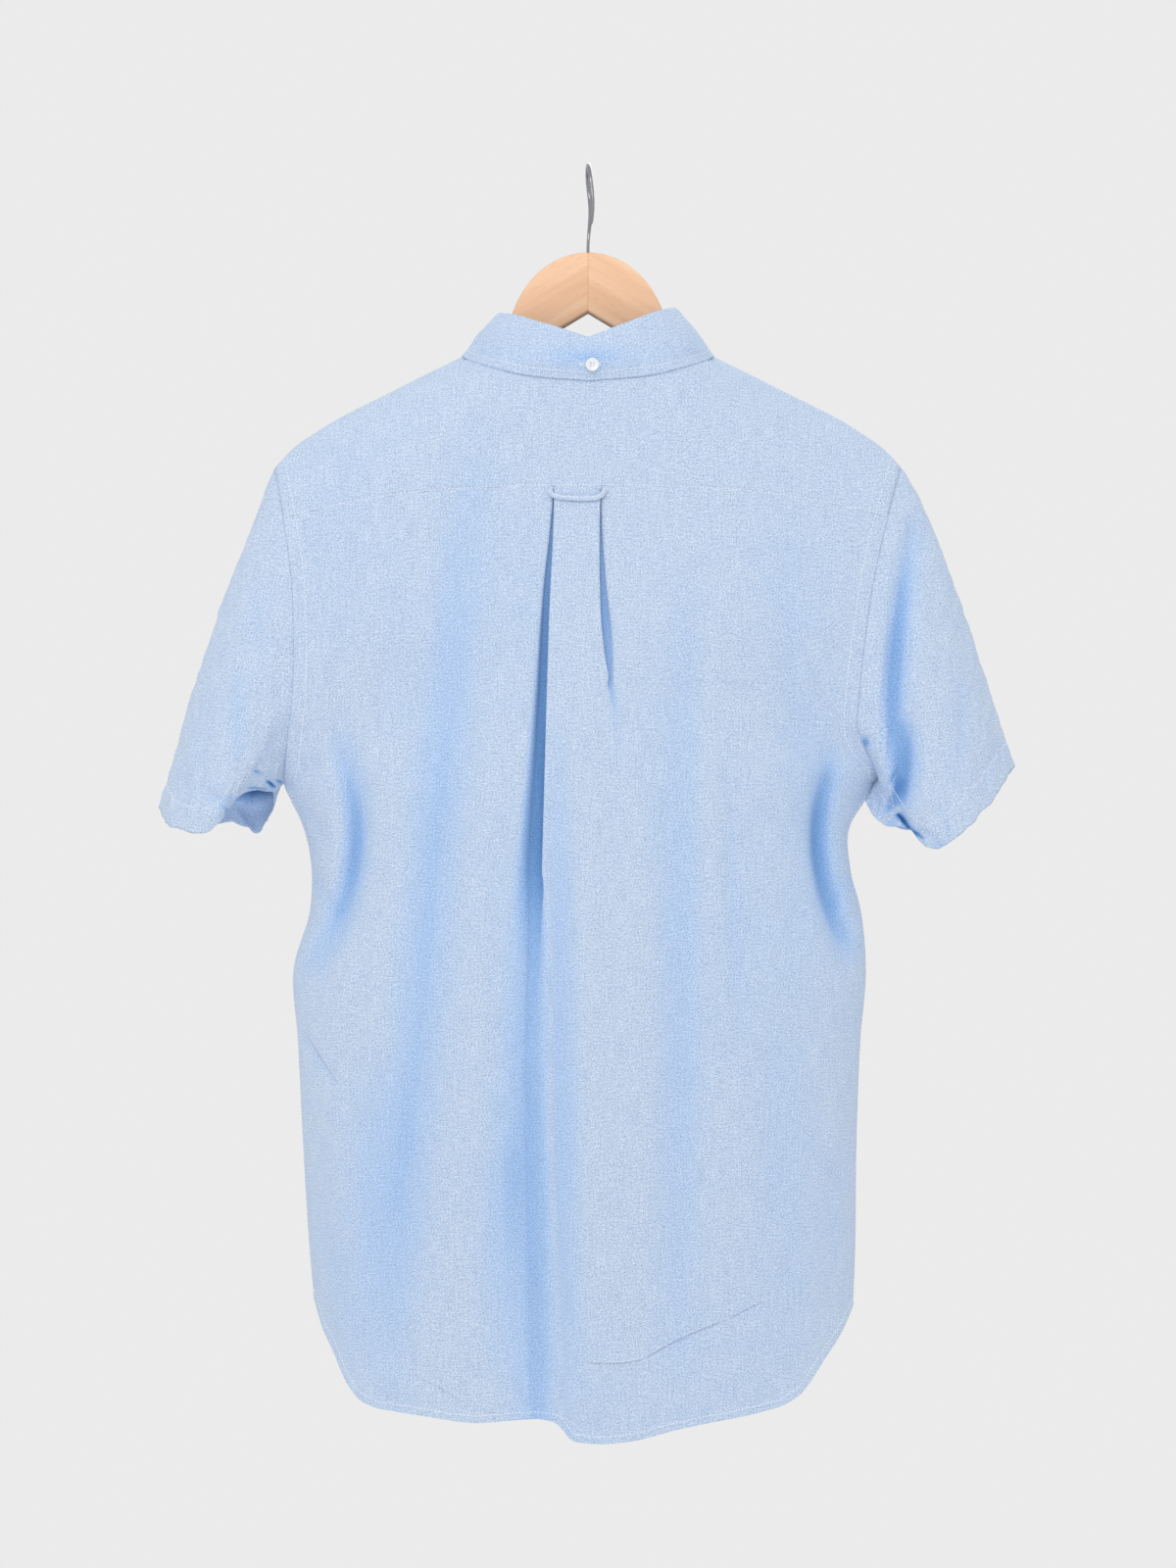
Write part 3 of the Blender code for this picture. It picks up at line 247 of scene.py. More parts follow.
PLEAT = Table(
    "z left right left_tuck right_tuck left_gap right_gap left_soft right_soft left_depth right_depth proud",
    (-238, 23.3, -8, 12, 12, 1.5, 1.4, 1.4, 1.4, 2.0, 2.0, 1.8),
    (-273, 24, -7.2, 12, 12, 3.6, 3.3, 2.2, 1.8, 2.8, 2.4, 1.8),
    (-311, 26, -7.5, 11, 11, 5.4, 5.4, 3.2, 2.6, 4.2, 3, 1.8),
    (-342, 27.2, -9, 11, 9, 6.2, 7.2, 4.2, 3.4, 5.6, 3, 1.8),
    (-361, 27.8, -11.3, 10, 6, 6.6, 6, 4.8, 4, 6.2, 2.6, 1.7),
    (-382, 28.4, -15, 10, 2, 7.0, 3, 5.4, 4, 6.6, 1.9, 1.6),
    (-400, 29, -17, 9, 0, 7.6, 6, 6, 6, 6.8, 0.8, 1.4), (-427, 29.7, -18, 8, 0, 8.4, 10, 7, 9, 7, 0.3, 1.2),
    (-472, 31, -18, 6, 0, 10.4, 14, 9, 9, 7.2, 0, 0.9), (-552, 33, -18, 1.0, 0, 13, 16, 13, 9, 6.0, 0, 0.6),
    (-620, 34, -18, 0, 0, 15.5, 16, 15, 9, 5.0, 0, 0.5), (-700, 32.5, -20, 0, 0, 18, 16, 15, 9, 4.5, 0, 0.4),
    (-800, 30, -24, 0, 0, 19, 16, 14, 9, 4.3, 0, 0.4), (-930, 28, -30, 0, 0, 19, 16, 12, 9, 3.4, 0, 0.3),
)
FOLD_NAMES = "x0 z0 x1 z1 x2 z2 outer inner depth"
BACK_FOLDS = Table(
    FOLD_NAMES,
    (79, -176, 116, -520, 148, -940, 18, 19, 5.8), (-32, -290, -36, -560, -34, -900, 11, 11, -1.6),
    (-74, -290, -64, -520, -67, -890, 13, 18, 3.7), (-76, -600, -70, -750, -70, -905, 12, 18, 0.6),
    (-140, -520, -138, -650, -150, -880, 20, 20, 2.0), (23, -400, 17, -640, 15, -940, 10.5, 11, 5.6),
    (188, -414, 146, -500, 206, -592, 7, 11, 9.9), (-183, -426, -151, -500, -196, -584, 9.5, 8, 11.2),
    (150, -640, 160, -740, 158, -890, 18, 18, 3), (64, -470, 62, -740, 60, -920, 11, 14, 3.0),
    (-100, -400, -103, -520, -112, -650, 6, 8, 2.2),
)
FRONT_FOLDS = Table(
    FOLD_NAMES,
    (60, -230, 84, -520, 96, -905, 17, 17, 8), (-56, -240, -78, -540, -84, -905, 16, 16, 7),
    (128, -330, 138, -600, 146, -890, 19, 19, -6), (-126, -330, -132, -600, -140, -890, 19, 19, -6),
    (188, -414, 150, -500, 204, -590, 7, 13, 11), (-182, -416, -148, -498, -194, -580, 7, 13, 11),
    (44, -560, 46, -740, 44, -905, 13, 13, -4), (-42, -500, -46, -700, -44, -905, 13, 13, -4),
)
BACK_CREASES = Table(
    FOLD_NAMES,
    (211, -631, 198, -656, 178, -675, 2.6, 4, 2.6), (-122, -640, -130, -652, -142, -668, 5, 5, 1.0),
    (1, -869.5, -20, -872.5, -43, -867.5, 3, 3, -0.8), (-42, -868.5, -86, -846, -127, -828, 3.4, 3.4, 0.9),
    (28, -620, 26, -770, 15, -915, 2.4, 2.4, -0.9), (214, -462, 200, -478, 190, -502, 5, 5, 1.6),
    (212, -508, 198, -526, 184, -552, 4, 6, 2.2), (-206, -506, -192, -522, -180, -548, 4, 6, 2.2),
    (196, -560, 204, -584, 213, -600, 4, 4, 1.8), (-188, -552, -194, -570, -203, -586, 4, 4, 1.8),
    (60, -700, 74, -800, 70, -900, 14, 14, 1.6), (-110, -420, -122, -520, -118, -640, 12, 12, 1.2),
    (140, -260, 134, -340, 142, -430, 16, 16, 1.2), (-150, -270, -146, -360, -156, -440, 14, 14, 1.4),
    (-36, -300, -40, -420, -36, -560, 7, 10, 1.3), (196, -770, 180, -820, 172, -870, 6, 9, 1.4),
    (60, -560, 66, -640, 58, -720, 8, 8, -1.0), (-190, -700, -176, -760, -180, -850, 8, 10, 1.4),
    (46, -250, 50, -300, 44, -380, 6, 6, 0.7), (-24, -250, -30, -290, -26, -350, 6, 6, 0.8),
    (-162, -380, -148, -470, -158, -610, 14, 20, 1.9),
)
# Lines pressed into the back: each is a bump, with painted shade along it and a painted highlight beside it.
# Columns: start, end, bow, width and strength of each.
PRESSED = Table(
    "x0 z0 x1 z1 bow width strength",
    (2, -869.5, -43, -867, 2.2, 0.7, 0.9), (-40, -867.5, -101, -840, -1.8, 0.75, 0.95),
    (-99, -841, -129, -826.5, -0.6, 0.7, 0.85), (206, -634, 180, -672, 1.0, 0.7, 0.6),
    (-114, -728, -121, -715, 0.3, 0.6, 0.5), (124, -881, 84, -903, -1.0, 0.9, 0.35),
)
FRONT_CREASES = Table(
    FOLD_NAMES,
    (210, -500, 192, -522, 176, -552, 5, 7, 2.2), (-206, -498, -190, -520, -174, -548, 5, 7, 2.2),
    (150, -620, 132, -640, 110, -646, 7, 7, 1.2), (-140, -700, -118, -716, -96, -712, 7, 7, 1.2),
    (100, -250, 92, -330, 108, -420, 13, 13, 1.6), (-96, -260, -104, -350, -94, -440, 13, 13, 1.6),
    (30, -300, 34, -420, 28, -540, 9, 9, 1.0), (-64, -620, -58, -760, -66, -890, 12, 12, 1.4),
    (196, -566, 204, -588, 212, -604, 4, 4, 1.6), (-190, -558, -196, -576, -204, -592, 4, 4, 1.6),
    (24, -284, 40, -296, 62, -296, 5, 5, 0.8), (22, -372, 36, -392, 58, -398, 5, 5, 0.8),
    (20, -460, 40, -470, 54, -488, 5, 5, 0.9), (-22, -400, -44, -416, -60, -420, 6, 6, 0.9),
)
LEFT_SLEEVE_CREASES = {
    Face.BACK: Table(
        FOLD_NAMES,
        (252, -366, 258, -410, 251, -440, 6, 8, 2.4), (250, -431, 237, -437, 227, -446, 6, 6, -2.6),
        (244, -455, 235, -453.5, 227, -456, 3.4, 3.4, -2.6),
        (284, -452, 272, -462, 262, -474, 4, 5, 1.6), (240, -300, 244, -340, 236, -372, 8, 8, 1.2),
        (272, -380, 282, -420, 284, -460, 7, 7, 1.0), (300, -440, 292, -452, 286, -470, 4, 5, 1.3),
    ),
    Face.FRONT: Table(
        FOLD_NAMES,
        (236, -330, 250, -390, 252, -450, 7, 10, 4.0), (246, -440, 236, -448, 226, -446, 3, 3, 2.4),
        (280, -380, 286, -420, 282, -466, 7, 8, 2.0), (262, -440, 252, -456, 246, -474, 4, 4, 1.8),
        (282, -463, 254, -460, 226, -462, 7.5, 7.5, 9.5), (262, -470, 258, -480, 250, -490, 3, 3, 2.4),
    ),
}
RIGHT_SLEEVE_CREASES = {
    Face.BACK: Table(
        FOLD_NAMES,
        (-241, -252, -210, -385, -227, -470, 9, 7.5, 9.0), (-228, -404, -238, -440, -219, -484, 8, 7, 8.2),
        (-212, -456, -211, -464, -214, -474, 3, 3, 1.8), (-252, -470, -262, -486, -264, -500, 4, 4, 1.6),
        (-270, -360, -276, -410, -262, -460, 9, 9, 1.6), (-300, -424, -290, -440, -286, -462, 4, 5, 1.6),
        (-296, -416, -300, -430, -304, -446, 4, 4, 1.4),
        (-214, -448, -222, -458, -228, -476, 3, 3, -1.8), (-240, -484, -250, -490, -252, -504, 3, 3, 1.6),
        (-230, -448, -221, -468, -213, -494, 6, 5.4, 4.6),
    ),
    Face.FRONT: Table(
        FOLD_NAMES,
        (-232, -280, -216, -385, -232, -470, 8, 8, 7.0), (-224, -440, -232, -466, -240, -490, 4, 4, 3.6),
        (-272, -370, -276, -420, -266, -466, 8, 8, 2.0), (-254, -466, -262, -480, -266, -496, 4, 4, 1.6),
    ),
}
PINCHES = {
    Side.LEFT: Table(
        FOLD_NAMES,
        (244, -442, 241, -444, 237.5, -447, 1.7, 1.7, 2.0),
        (236, -450, 233, -452, 228.5, -456, 1.9, 1.9, 4.8),
        (229, -449, 226, -451.5, 223.5, -452, 1.4, 1.4, 2.8),
        (247, -453, 241, -451.5, 237, -453.5, 2.2, 2.2, -1.8),
        (250, -457, 241, -454.8, 231, -456.8, 1.4, 1.4, 2.6),
        (266, -468, 259, -474, 256, -482, 2.0, 2.0, 2.2),
        (272, -462, 262, -466, 254, -462, 2.4, 2.4, 0.9),
    ),
    Side.RIGHT: Table(
        FOLD_NAMES,
        (-225, -473, -229, -478, -234, -486, 2.0, 2.0, 5.6),
        (-229, -470, -219, -476, -214, -483, 2.0, 2.0, -2.2),
        (-232, -483, -238, -488, -245, -495, 1.7, 1.7, 3.4),
        (-202, -418.5, -202, -423, -202, -427.5, 3.1, 3.1, 2.3),
        (-226, -441, -220, -449, -216, -458, 1.6, 1.6, 0.9),
        (-252, -494, -257, -497, -262, -502, 1.8, 1.8, 1.6),
    ),
}
CUFF_NAMES = "turn x y z"
LEFT_CUFF = Table(
    CUFF_NAMES,
    (0.00, 315, 0, -471), (0.10, 307, 26, -482), (0.20, 290, 44, -487), (0.30, 273, 46, -486),
    (0.35, 265, 41, -477), (0.39, 257, 35, -465), (0.45, 243, 22, -458), (0.50, 232, 2, -459),
    (0.56, 233, -16, -472), (0.60, 240.5, -30, -483.5), (0.64, 246, -37, -489), (0.68, 254, -43, -486),
    (0.74, 264, -47, -483), (0.85, 287, -42, -481), (0.94, 309, -20, -476), (1.00, 315, 0, -471),
)
RIGHT_CUFF = Table(
    CUFF_NAMES,
    (0.00, -313, 0, -441), (0.05, -307, 16, -447), (0.09, -301, 26, -454), (0.14, -294, 36, -464),
    (0.20, -284, 46, -475), (0.26, -272, 50, -487), (0.31, -258, 47, -496.5), (0.35, -249, 42, -500.5),
    (0.38, -242, 37, -496), (0.40, -236, 33, -487), (0.43, -227, 26, -484), (0.46, -216, 17, -482.5),
    (0.48, -208, 9, -474.5), (0.50, -203, 2, -465), (0.53, -209, -10, -473), (0.58, -222, -24, -481),
    (0.64, -240, -36, -488), (0.74, -257, -48, -492), (0.85, -283, -42, -474), (0.94, -303, -20, -453),
    (1.00, -313, 0, -441),
)
# height, size down the sleeve, lean, size round it, and seed
CRUMPLES = ((0.6, 19.0, 0.35, 0.9, 0), (0.4, 7.0, 0.5, 1.1, 1), (0.24, 3.4, 0.6, 1.0, 3))
SLEEVE_SWELL = {Side.LEFT: (5.0, 1.0), Side.RIGHT: (7.5, 0.6)}
LEAF_EDGE = Table(
    "angle x depth z",
    (0, 0, 56, -162), (30, 47, 53, -157.5), (60, 80.5, 33, -147), (78, 90.5, 15, -141.8),
    (90, 92.2, 0, -139.4),
    (108, 94, -20, -146), (125, 88, -43.5, -168), (145, 70, -57.5, -205), (172, 46, -65, -241),
)
LEAF_END = 172.0
FOLD_HALF, FOLD_BACK, FOLD_FRONT = 62.6, 47.5, 55.0
FOLD_SIDE_Z, FOLD_BACK_Z, FOLD_FRONT_Z = -106.0, -127.5, -169.0
FOLD_SAG, FOLD_TILT = 2.6, 2.0
LEAF_ROLL = 3.0
END_ANGLE = 180 + math.degrees(math.asin(OVERLAP / NECK_HALF))
YOKE_TURN = 180 - math.degrees(math.asin(1 - (YOKE_FRONT_DROP / NECK_DROP_FRONT) ** (1 / FRONT_NECK_POWER)))
LOCKER_LOOP = Table(
    "order x z lift",
    (0, 27.4, -240.3, 3.2), (1, 26.6, -243.2, 3.4), (2, 22.4, -245.8, 3.7), (3, 15, -246.8, 4.1),
    (4, 7, -247.2, 4.3), (5, -1, -247.1, 4.1), (6, -7.0, -246.3, 3.7), (7, -10.8, -243.6, 3.4),
    (8, -12.2, -240.3, 3.2),
)


def valleys(x: Floats, z: Floats, table: Table, tall: float = 1.0) -> Floats:
    """How far a table of folds pushes cloth outwards. Depth is inwards.

    Args:
        x: Places across.
        z: Heights.
        table: Folds, each a curve with a width on its outer and its inner side and a depth.
        tall: How much slower a fold dies out along Z than along X.

    Returns:
        The push at each point.
    """
    relief = np.zeros(np.broadcast(x, z).shape)
    x, z = np.broadcast_arrays(x, z)
    t = np.linspace(0, 1, FOLD_POINTS)
    for x0, z0, x1, z1, x2, z2, outer, inner, depth in np.array([table.columns[n] for n in table.names]).T:
        path_x = (1 - t) ** 2 * x0 + 2 * t * (1 - t) * x1 + t**2 * x2
        path_z = (1 - t) ** 2 * z0 + 2 * t * (1 - t) * z1 + t**2 * z2
        reach = FOLD_REACH * max(outer, inner)
        near = (x > path_x.min() - reach) & (x < path_x.max() + reach)
        near &= (z > path_z.min() - reach * tall) & (z < path_z.max() + reach * tall)
        if not near.any():
            continue
        px, pz = x[near], z[near] / tall
        best, along, beside = np.full(px.shape, 1e9), np.zeros(px.shape), np.zeros(px.shape)
        for i in range(len(t) - 1):
            ax, az = path_x[i], path_z[i] / tall
            bx, bz = path_x[i + 1] - ax, path_z[i + 1] / tall - az
            part = np.clip(((px - ax) * bx + (pz - az) * bz) / (bx * bx + bz * bz), 0, 1)
            off_x, off_z = px - ax - part * bx, pz - az - part * bz
            gap = np.hypot(off_x, off_z)
            along = np.where(gap < best, (i + part) / (len(t) - 1), along)
            beside = np.where(gap < best, off_x * np.sign(x1), beside)
            best = np.minimum(gap, best)
        width = inner + (outer - inner) * eased(-0.5 * inner, 0.5 * outer, beside)
        fade = np.sin(np.pi * along) ** FOLD_FADE
        relief[near] -= depth * fade * np.exp(-((best / width) ** 2))
    return relief


@dataclass(frozen=True)
class BodyForm:
    """The body of the shirt: where its cloth lies at any height, on either face.

    A level section is an oval that grows squarer towards the hem. Over_back and over_front say how far below
    the shoulder line the cloth falls away from it, in the middle and for each millimetre further out.
    """

    armhole_widest: float = 34.0
    armhole_closing: float = 76.0
    armhole_blend: float = 90.0
    armhole_sharp: float = 0.05
    armhole_point: float = 0.35
    oval: float = 2.2
    square_from: float = 330.0
    square_to: float = 530.0
    flatter: float = 0.52
    squarer: float = 12.0
    over_from: float = 60.0
    over_back: tuple[float, float] = (12.0, 0.25)
    over_front: tuple[float, float] = (30.0, 0.0625)
    even_near_shoulder: float = 60.0
    lap_from: float = 3.0
    lap_to: float = 29.0

    def shoulder(self, x: Floats | float) -> Floats:
        """Height of the shoulder line."""
        return SHOULDER.at("z", np.abs(x))

    def half_width(self, x: Floats | float, z: Floats | float) -> Floats:
        """Half width of the body on the side that x is on."""
        return np.where(np.asarray(x) >= 0, BODY.at("left", z), BODY.at("right", z))

    def depth(self, x: Floats, z: Floats, face: Face) -> Floats:
        """Distance of the plain cloth from the hanger's plane.

        Args:
            x: Places across.
            z: Heights.
            face: The back or the front.

        Returns:
            Depths, all positive.
        """
        z = np.asarray(z, float)
        back = face is Face.BACK
        middle = BODY.at("back" if back else "front", z)
        closing = ARMPIT + self.armhole_closing - z
        point = self.armhole_point
        seam = np.sqrt(1 - np.clip(closing / self.armhole_closing, 0, 1) ** 2 + point**2) - point
        seam = seam / (math.sqrt(1 + point**2) - point)
        panel = (1 - np.clip(closing / self.armhole_blend, 0, 1) ** 2) ** 1.5
        share = np.clip(np.abs(x) / self.half_width(x, z), 0, 1)
        end = self.armhole_widest * (seam + (panel - seam) * eased(0, self.armhole_sharp, 1 - share))
        lower = eased(self.square_from, self.square_to, -z)
        full = middle * (1 - share**self.oval) ** (1 - self.flatter * lower)
        full = full + end * share ** (self.oval + self.squarer * lower)
        drop = np.maximum(self.shoulder(x) - z, 0)
        start, growth = self.over_back if back else self.over_front
        reach = start + growth * np.maximum(np.abs(x) - self.over_from, 0)
        over = RIDGE_RADIUS * np.sqrt(1 - np.exp(-2 * drop / RIDGE_RADIUS))
        return over + (full - RIDGE_RADIUS) * (1 - np.exp(-drop / reach))

    def relief(self, x: Floats, z: Floats, face: Face) -> Floats:
        """Folds, creases and the soft unevenness of hanging cloth.

        Args:
            x: Places across.
            z: Heights.
            face: The back or the front.

        Returns:
            How far the cloth stands out at each point.
        """
        back = face is Face.BACK
        made = valleys(x, z, BACK_FOLDS if back else FRONT_FOLDS, tall=2.0)
        made = made + valleys(x, z, BACK_CREASES if back else FRONT_CREASES)
        below = eased(0, self.even_near_shoulder, self.shoulder(x) - z)
        for seed, (height, across, down) in enumerate(UNEVEN, 11 if back else 23):
            made = made + below * height * lumps(x / across + 40, z / down, seed)
        return made

    def on_body(self, x: Floats, z: Floats, face: Face, lift: Floats | float = 0.0) -> Floats:
        """Points on a face of the body, moved out by its folds and by lift.

        Args:
            x: Places across.
            z: Heights.
            face: The back or the front.
            lift: How much further out the points stand.

        Returns:
            Points, [..., xyz].
        """
        x, z = np.broadcast_arrays(np.asarray(x, float), np.asarray(z, float))
        share = np.clip(np.abs(x) / self.half_width(x, z), 0, 1)
        below = eased(-ARMPIT - 20, -ARMPIT + 20, -z)
        sideways = np.sign(x) * share**8 * below
        outwards = face.value * np.sqrt(1 - sideways**2)
        out = lift + self.relief(x, z, face) * (1 - share**24)
        y = face.value * self.depth(x, z, face)
        return np.stack([x + sideways * out, y + outwards * out, z], axis=-1)

    def over_shoulder(self, x: Floats, root: Floats) -> Floats:
        """Points by roots of their drop from the shoulder line, + on the back and - on the front."""
        z = self.shoulder(x) - root**2
        return np.where((root >= 0)[..., None], *(self.on_body(x, z, face) for face in Face))

    def lap(self, x: Floats) -> Floats:
        """How far the left side stands off near its edge, to clear the right one under it."""
        return LIFT * (1 - eased(OVERLAP + self.lap_from, OVERLAP + self.lap_to, x))

    def neck_ring(self, angle: Floats) -> tuple[Floats, Floats, Floats]:
        """Where the neck seam lies.

        Args:
            angle: Degrees from the back of the neck, + to the left.

        Returns:
            Places across, heights, and 1 on the back or -1 on the front.
        """
        a = np.radians(angle)
        x = NECK_HALF * np.sin(a)
        front = np.abs(angle) > 90
        short = 1 - np.abs(np.sin(a))
        drop = np.where(front, NECK_DROP_FRONT * short**FRONT_NECK_POWER, NECK_DROP_BACK * short)
        return x, self.shoulder(x) - drop, np.where(front, -1, 1)

    def ring_point(self, angle: Floats) -> Floats:
        """The neck seam in space.

        Args:
            angle: Degrees from the back of the neck, + to the left.

        Returns:
            Points, [..., xyz].
        """
        x, z, face = self.neck_ring(angle)
        y = np.where(face > 0, self.depth(x, z, Face.BACK), -self.depth(x, z, Face.FRONT))
        return np.stack([x, y, z], axis=-1)

    def ring_angles(self, start: float, end: float, spans: int) -> Floats:
        """Angles between two others that part the neck seam evenly by length.

        Args:
            start: The first angle.
            end: The last.
            spans: How many parts.

        Returns:
            The angles.
        """
        fine = np.linspace(start, end, 721)
        length = lengths(self.ring_point(fine))
        return np.interp(np.linspace(0, length[-1], spans + 1), length, fine)

    def yoke_line(self, x: Floats | float) -> Floats:
        """Height of the yoke seam on the back."""
        return YOKE_BACK - YOKE_SIDE_DROP * (np.abs(x) / YOKE_HALF) ** YOKE_POWER

    def front_yoke_line(self, x: Floats) -> Floats:
        """Height of the yoke seam on a front."""
        return self.shoulder(x) - YOKE_FRONT_DROP - YOKE_FRONT_SLANT * eased(70, 220, np.abs(x))

    def armhole_edge(self, side: Side, rows: int) -> tuple[Floats, Floats]:
        """The yoke's armhole edge, from its front seam over to its back one.

        Args:
            side: Which armhole.
            rows: Spans along it.

        Returns:
            Places across, and signed roots of the drop from the shoulder line.
        """

        def landed(root: Floats | float) -> Floats:
            """Where points below the shoulder line meet the armhole.

            Args:
                root: Roots of their drop.

            Returns:
                Places across, without their side.
            """
            x = np.full(np.shape(root), BODY.columns["left"][0])
            for _ in range(SETTLING):
                x = 0.5 * x + 0.5 * self.half_width(side.value, self.shoulder(x) - root**2)
            return x

        front = -math.sqrt(YOKE_FRONT_DROP + YOKE_FRONT_SLANT)
        back = -front
        for _ in range(SETTLING):
            x = landed(back)
            back = math.sqrt(float(self.shoulder(x) - self.yoke_line(x)))
        root = np.linspace(front, back, rows + 1)
        return side.value * landed(root), root


FORM = BodyForm()


# Sheets of cloth


@dataclass
class Sheet:
    """A sheet of cloth as a grid of points, [column, row, xyz] in millimetres, and the painted shade in its
    colour.

    Its painted shade is below nought in valleys, where it darkens the cloth's colour, and above it on ridges.
    Out is a rough outward direction at each point. Threads, where the grid doesn't run with them, are the
    edge that they are counted from and their direction.
    """

    points: Floats
    out: Floats
    closed: bool = False
    # Painted shade of each point: below nought, the cloth's colour is darkened there.
    tone: Floats | None = None
    threads: tuple[Edge, Floats] | None = None

    def normals(self) -> Floats:
        """Outward normals at the points.

        Returns:
            Normals, [column, row, xyz].
        """
        if self.closed:
            ring = self.points[:-1]
            across = np.roll(ring, -1, axis=0) - np.roll(ring, 1, axis=0)
            across = np.concatenate([across, across[:1]])
        else:
            across = np.gradient(self.points, axis=0)
        normals = unit(np.cross(across, np.gradient(self.points, axis=1)))
        return normals * np.sign(np.sum(normals * self.out))

    def pushed(self, lift: Floats | float) -> "Sheet":
        """The sheet with its points moved outwards along their normals."""
        moved = self.points + self.normals() * np.broadcast_to(lift, self.points.shape[:2])[..., None]
        return Sheet(moved, self.out, self.closed, self.tone, self.threads)

    def woven(self) -> Floats:
        """Places in the flat cloth.

        Returns:
            Places, [column, row, uv].
        """
        if self.threads is None:
            across, _, down, _ = self.reaches()
            middle = across.shape[0] // 2
            return np.stack([across - across[middle : middle + 1], down], axis=-1)
        edge, axis = self.threads
        level = self.points @ axis
        along = 0 if edge is Edge.FIRST_COLUMN else 1
        steps = np.sum(np.diff(self.points, axis=along) ** 2, axis=-1) - np.diff(level, axis=along) ** 2
        rest = np.cumsum(np.sqrt(np.maximum(steps, 0)), axis=along)
        rest = np.concatenate([0 * level[:1] if along == 0 else 0 * level[:, :1], rest], axis=along)
        calmed = rest if along else rest.T
        for _ in range(CALMING):
            calmed[1:-1] = (calmed[:-2] + 2 * calmed[1:-1] + calmed[2:]) / 4
        if along == 0:
            across = unit(np.cross(axis, (0, 1, 0)))
            across = across * np.sign(np.sum((self.points[len(rest) // 2] - self.points[0]) @ across))
            return np.stack([self.points[:1] @ across + np.minimum(rest, rest[-1:] - rest), -level], axis=-1)
        return np.stack([level, rest - rest[:, -1:] - self.points[:, -1:, 2]], axis=-1)

    def seated(self, place: Floats) -> tuple[Floats, Floats]:
        """The point of the cloth that is straight below a place near it.

        Args:
            place: The place.

        Returns:
            The point, and the normal there.
        """
        gap = np.sum((self.points - place) ** 2, axis=-1)
        nearest = np.unravel_index(np.argmin(gap), gap.shape)
        normal = self.normals()[nearest]
        return place - np.dot(place - self.points[nearest], normal) * normal, normal

    def reaches(self) -> tuple[Floats, Floats, Floats, Floats]:
        """How far each point lies from the first and last column and the first and last row."""
        across, down = lengths(self.points), lengths(self.points, 1)
        return across, across[-1:] - across, down, down[:, -1:] - down

    def path(self, edge: Edge, inset: float) -> tuple[Floats, Floats]:
        """A line at a steady distance inside an edge.

        Args:
            edge: The edge that it follows.
            inset: Its distance from that edge.

        Returns:
            Its points and the outward normals there.
        """
        points, normals = self.points, self.normals()
        if edge in SIDES:
            points, normals = points.swapaxes(0, 1), normals.swapaxes(0, 1)
        if edge in (Edge.LAST_COLUMN, Edge.LAST_ROW):
            points, normals = points[:, ::-1], normals[:, ::-1]
        along = unit(np.gradient(points[:, 0], axis=0))
        inward = unit(points[:, 2] - points[:, 0])
        lean = np.sqrt(np.clip(1 - np.sum(along * inward, axis=-1) ** 2, 0.15, 1))
        made = []
        for line, normal, share in zip(points, normals, lean):
            at = np.interp(inset / share, lengths(line), np.arange(len(line)))
            i = min(int(at), len(line) - 2)
            t = at - i
            made.append([(1 - t) * values[i] + t * values[i + 1] for values in (line, normal)])
        made = np.array(made)
        return made[:, 0], unit(made[:, 1])


def puckers(
    along: Floats, away: Floats, seed: int, pitch: float = 7.0, height: float = 0.25, reach: float = 5.0
) -> Floats:
    """The small pull of a sewn line on cloth beside it, at distances along the line and away from it."""
    return height * lumps(along / pitch + 7.3, away / (3 * reach), seed) * np.exp(-((away / reach) ** 2))


@contextmanager
def edited(mesh: bpy.types.Mesh) -> Iterator[bmesh.types.BMesh]:
    """A mesh opened for bmesh operators, and written back at the end.

    Args:
        mesh: The mesh.

    Yields:
        Its form.
    """
    form = bmesh.new()
    form.from_mesh(mesh)
    yield form
    form.to_mesh(mesh)
    form.free()


def linked(name: str, data: bpy.types.ID) -> bpy.types.Object:
    """A new object in the scene, which shows this data."""
    bpy.context.scene.collection.objects.link(thing := bpy.data.objects.new(name, data))
    return thing


def grid_mesh(
    name: str, points: Floats, closed: bool, uv: Floats, tone: Floats | None = None
) -> bpy.types.Mesh:
    """A mesh shaped from a flat grid, with its map of the cloth and the painted shade of its colour.

    Args:
        name: The mesh's name.
        points: Points in metres, [column, row, xyz].
        closed: Whether the last column lies on the first.
        uv: Places in the cloth in metres.
        tone: Painted shade of each point, or None.

    Returns:
        The new mesh.
    """
    columns, rows = points.shape[:2]
    mesh = bpy.data.meshes.new(name)
    with edited(mesh) as form:
        bmesh.ops.create_grid(form, x_segments=columns - 1, y_segments=rows - 1, size=0.5)
    flat = np.zeros(len(mesh.vertices) * 3)
    mesh.vertices.foreach_get("co", flat)
    flat = flat.reshape(-1, 3) + 0.5
    i = np.rint(flat[:, 0] * (columns - 1)).astype(int)
    j = np.rint(flat[:, 1] * (rows - 1)).astype(int)
    mesh.vertices.foreach_set("co", points[i, j].ravel())
    corner = np.zeros(len(mesh.loops), dtype=np.int32)
    mesh.loops.foreach_get("vertex_index", corner)
    mesh.uv_layers.new(name="cloth").data.foreach_set("uv", uv[i, j][corner].ravel())
    # The painted shade goes on the mesh as a point attribute that the cloth's finish reads.
    if tone is not None:
        values = mesh.attributes.new("tone", "FLOAT", "POINT").data
        values.foreach_set("value", tone[i, j].astype(np.float32))
    if closed:
        with edited(mesh) as form:
            bmesh.ops.remove_doubles(form, verts=form.verts[:], dist=2e-6)
    return mesh


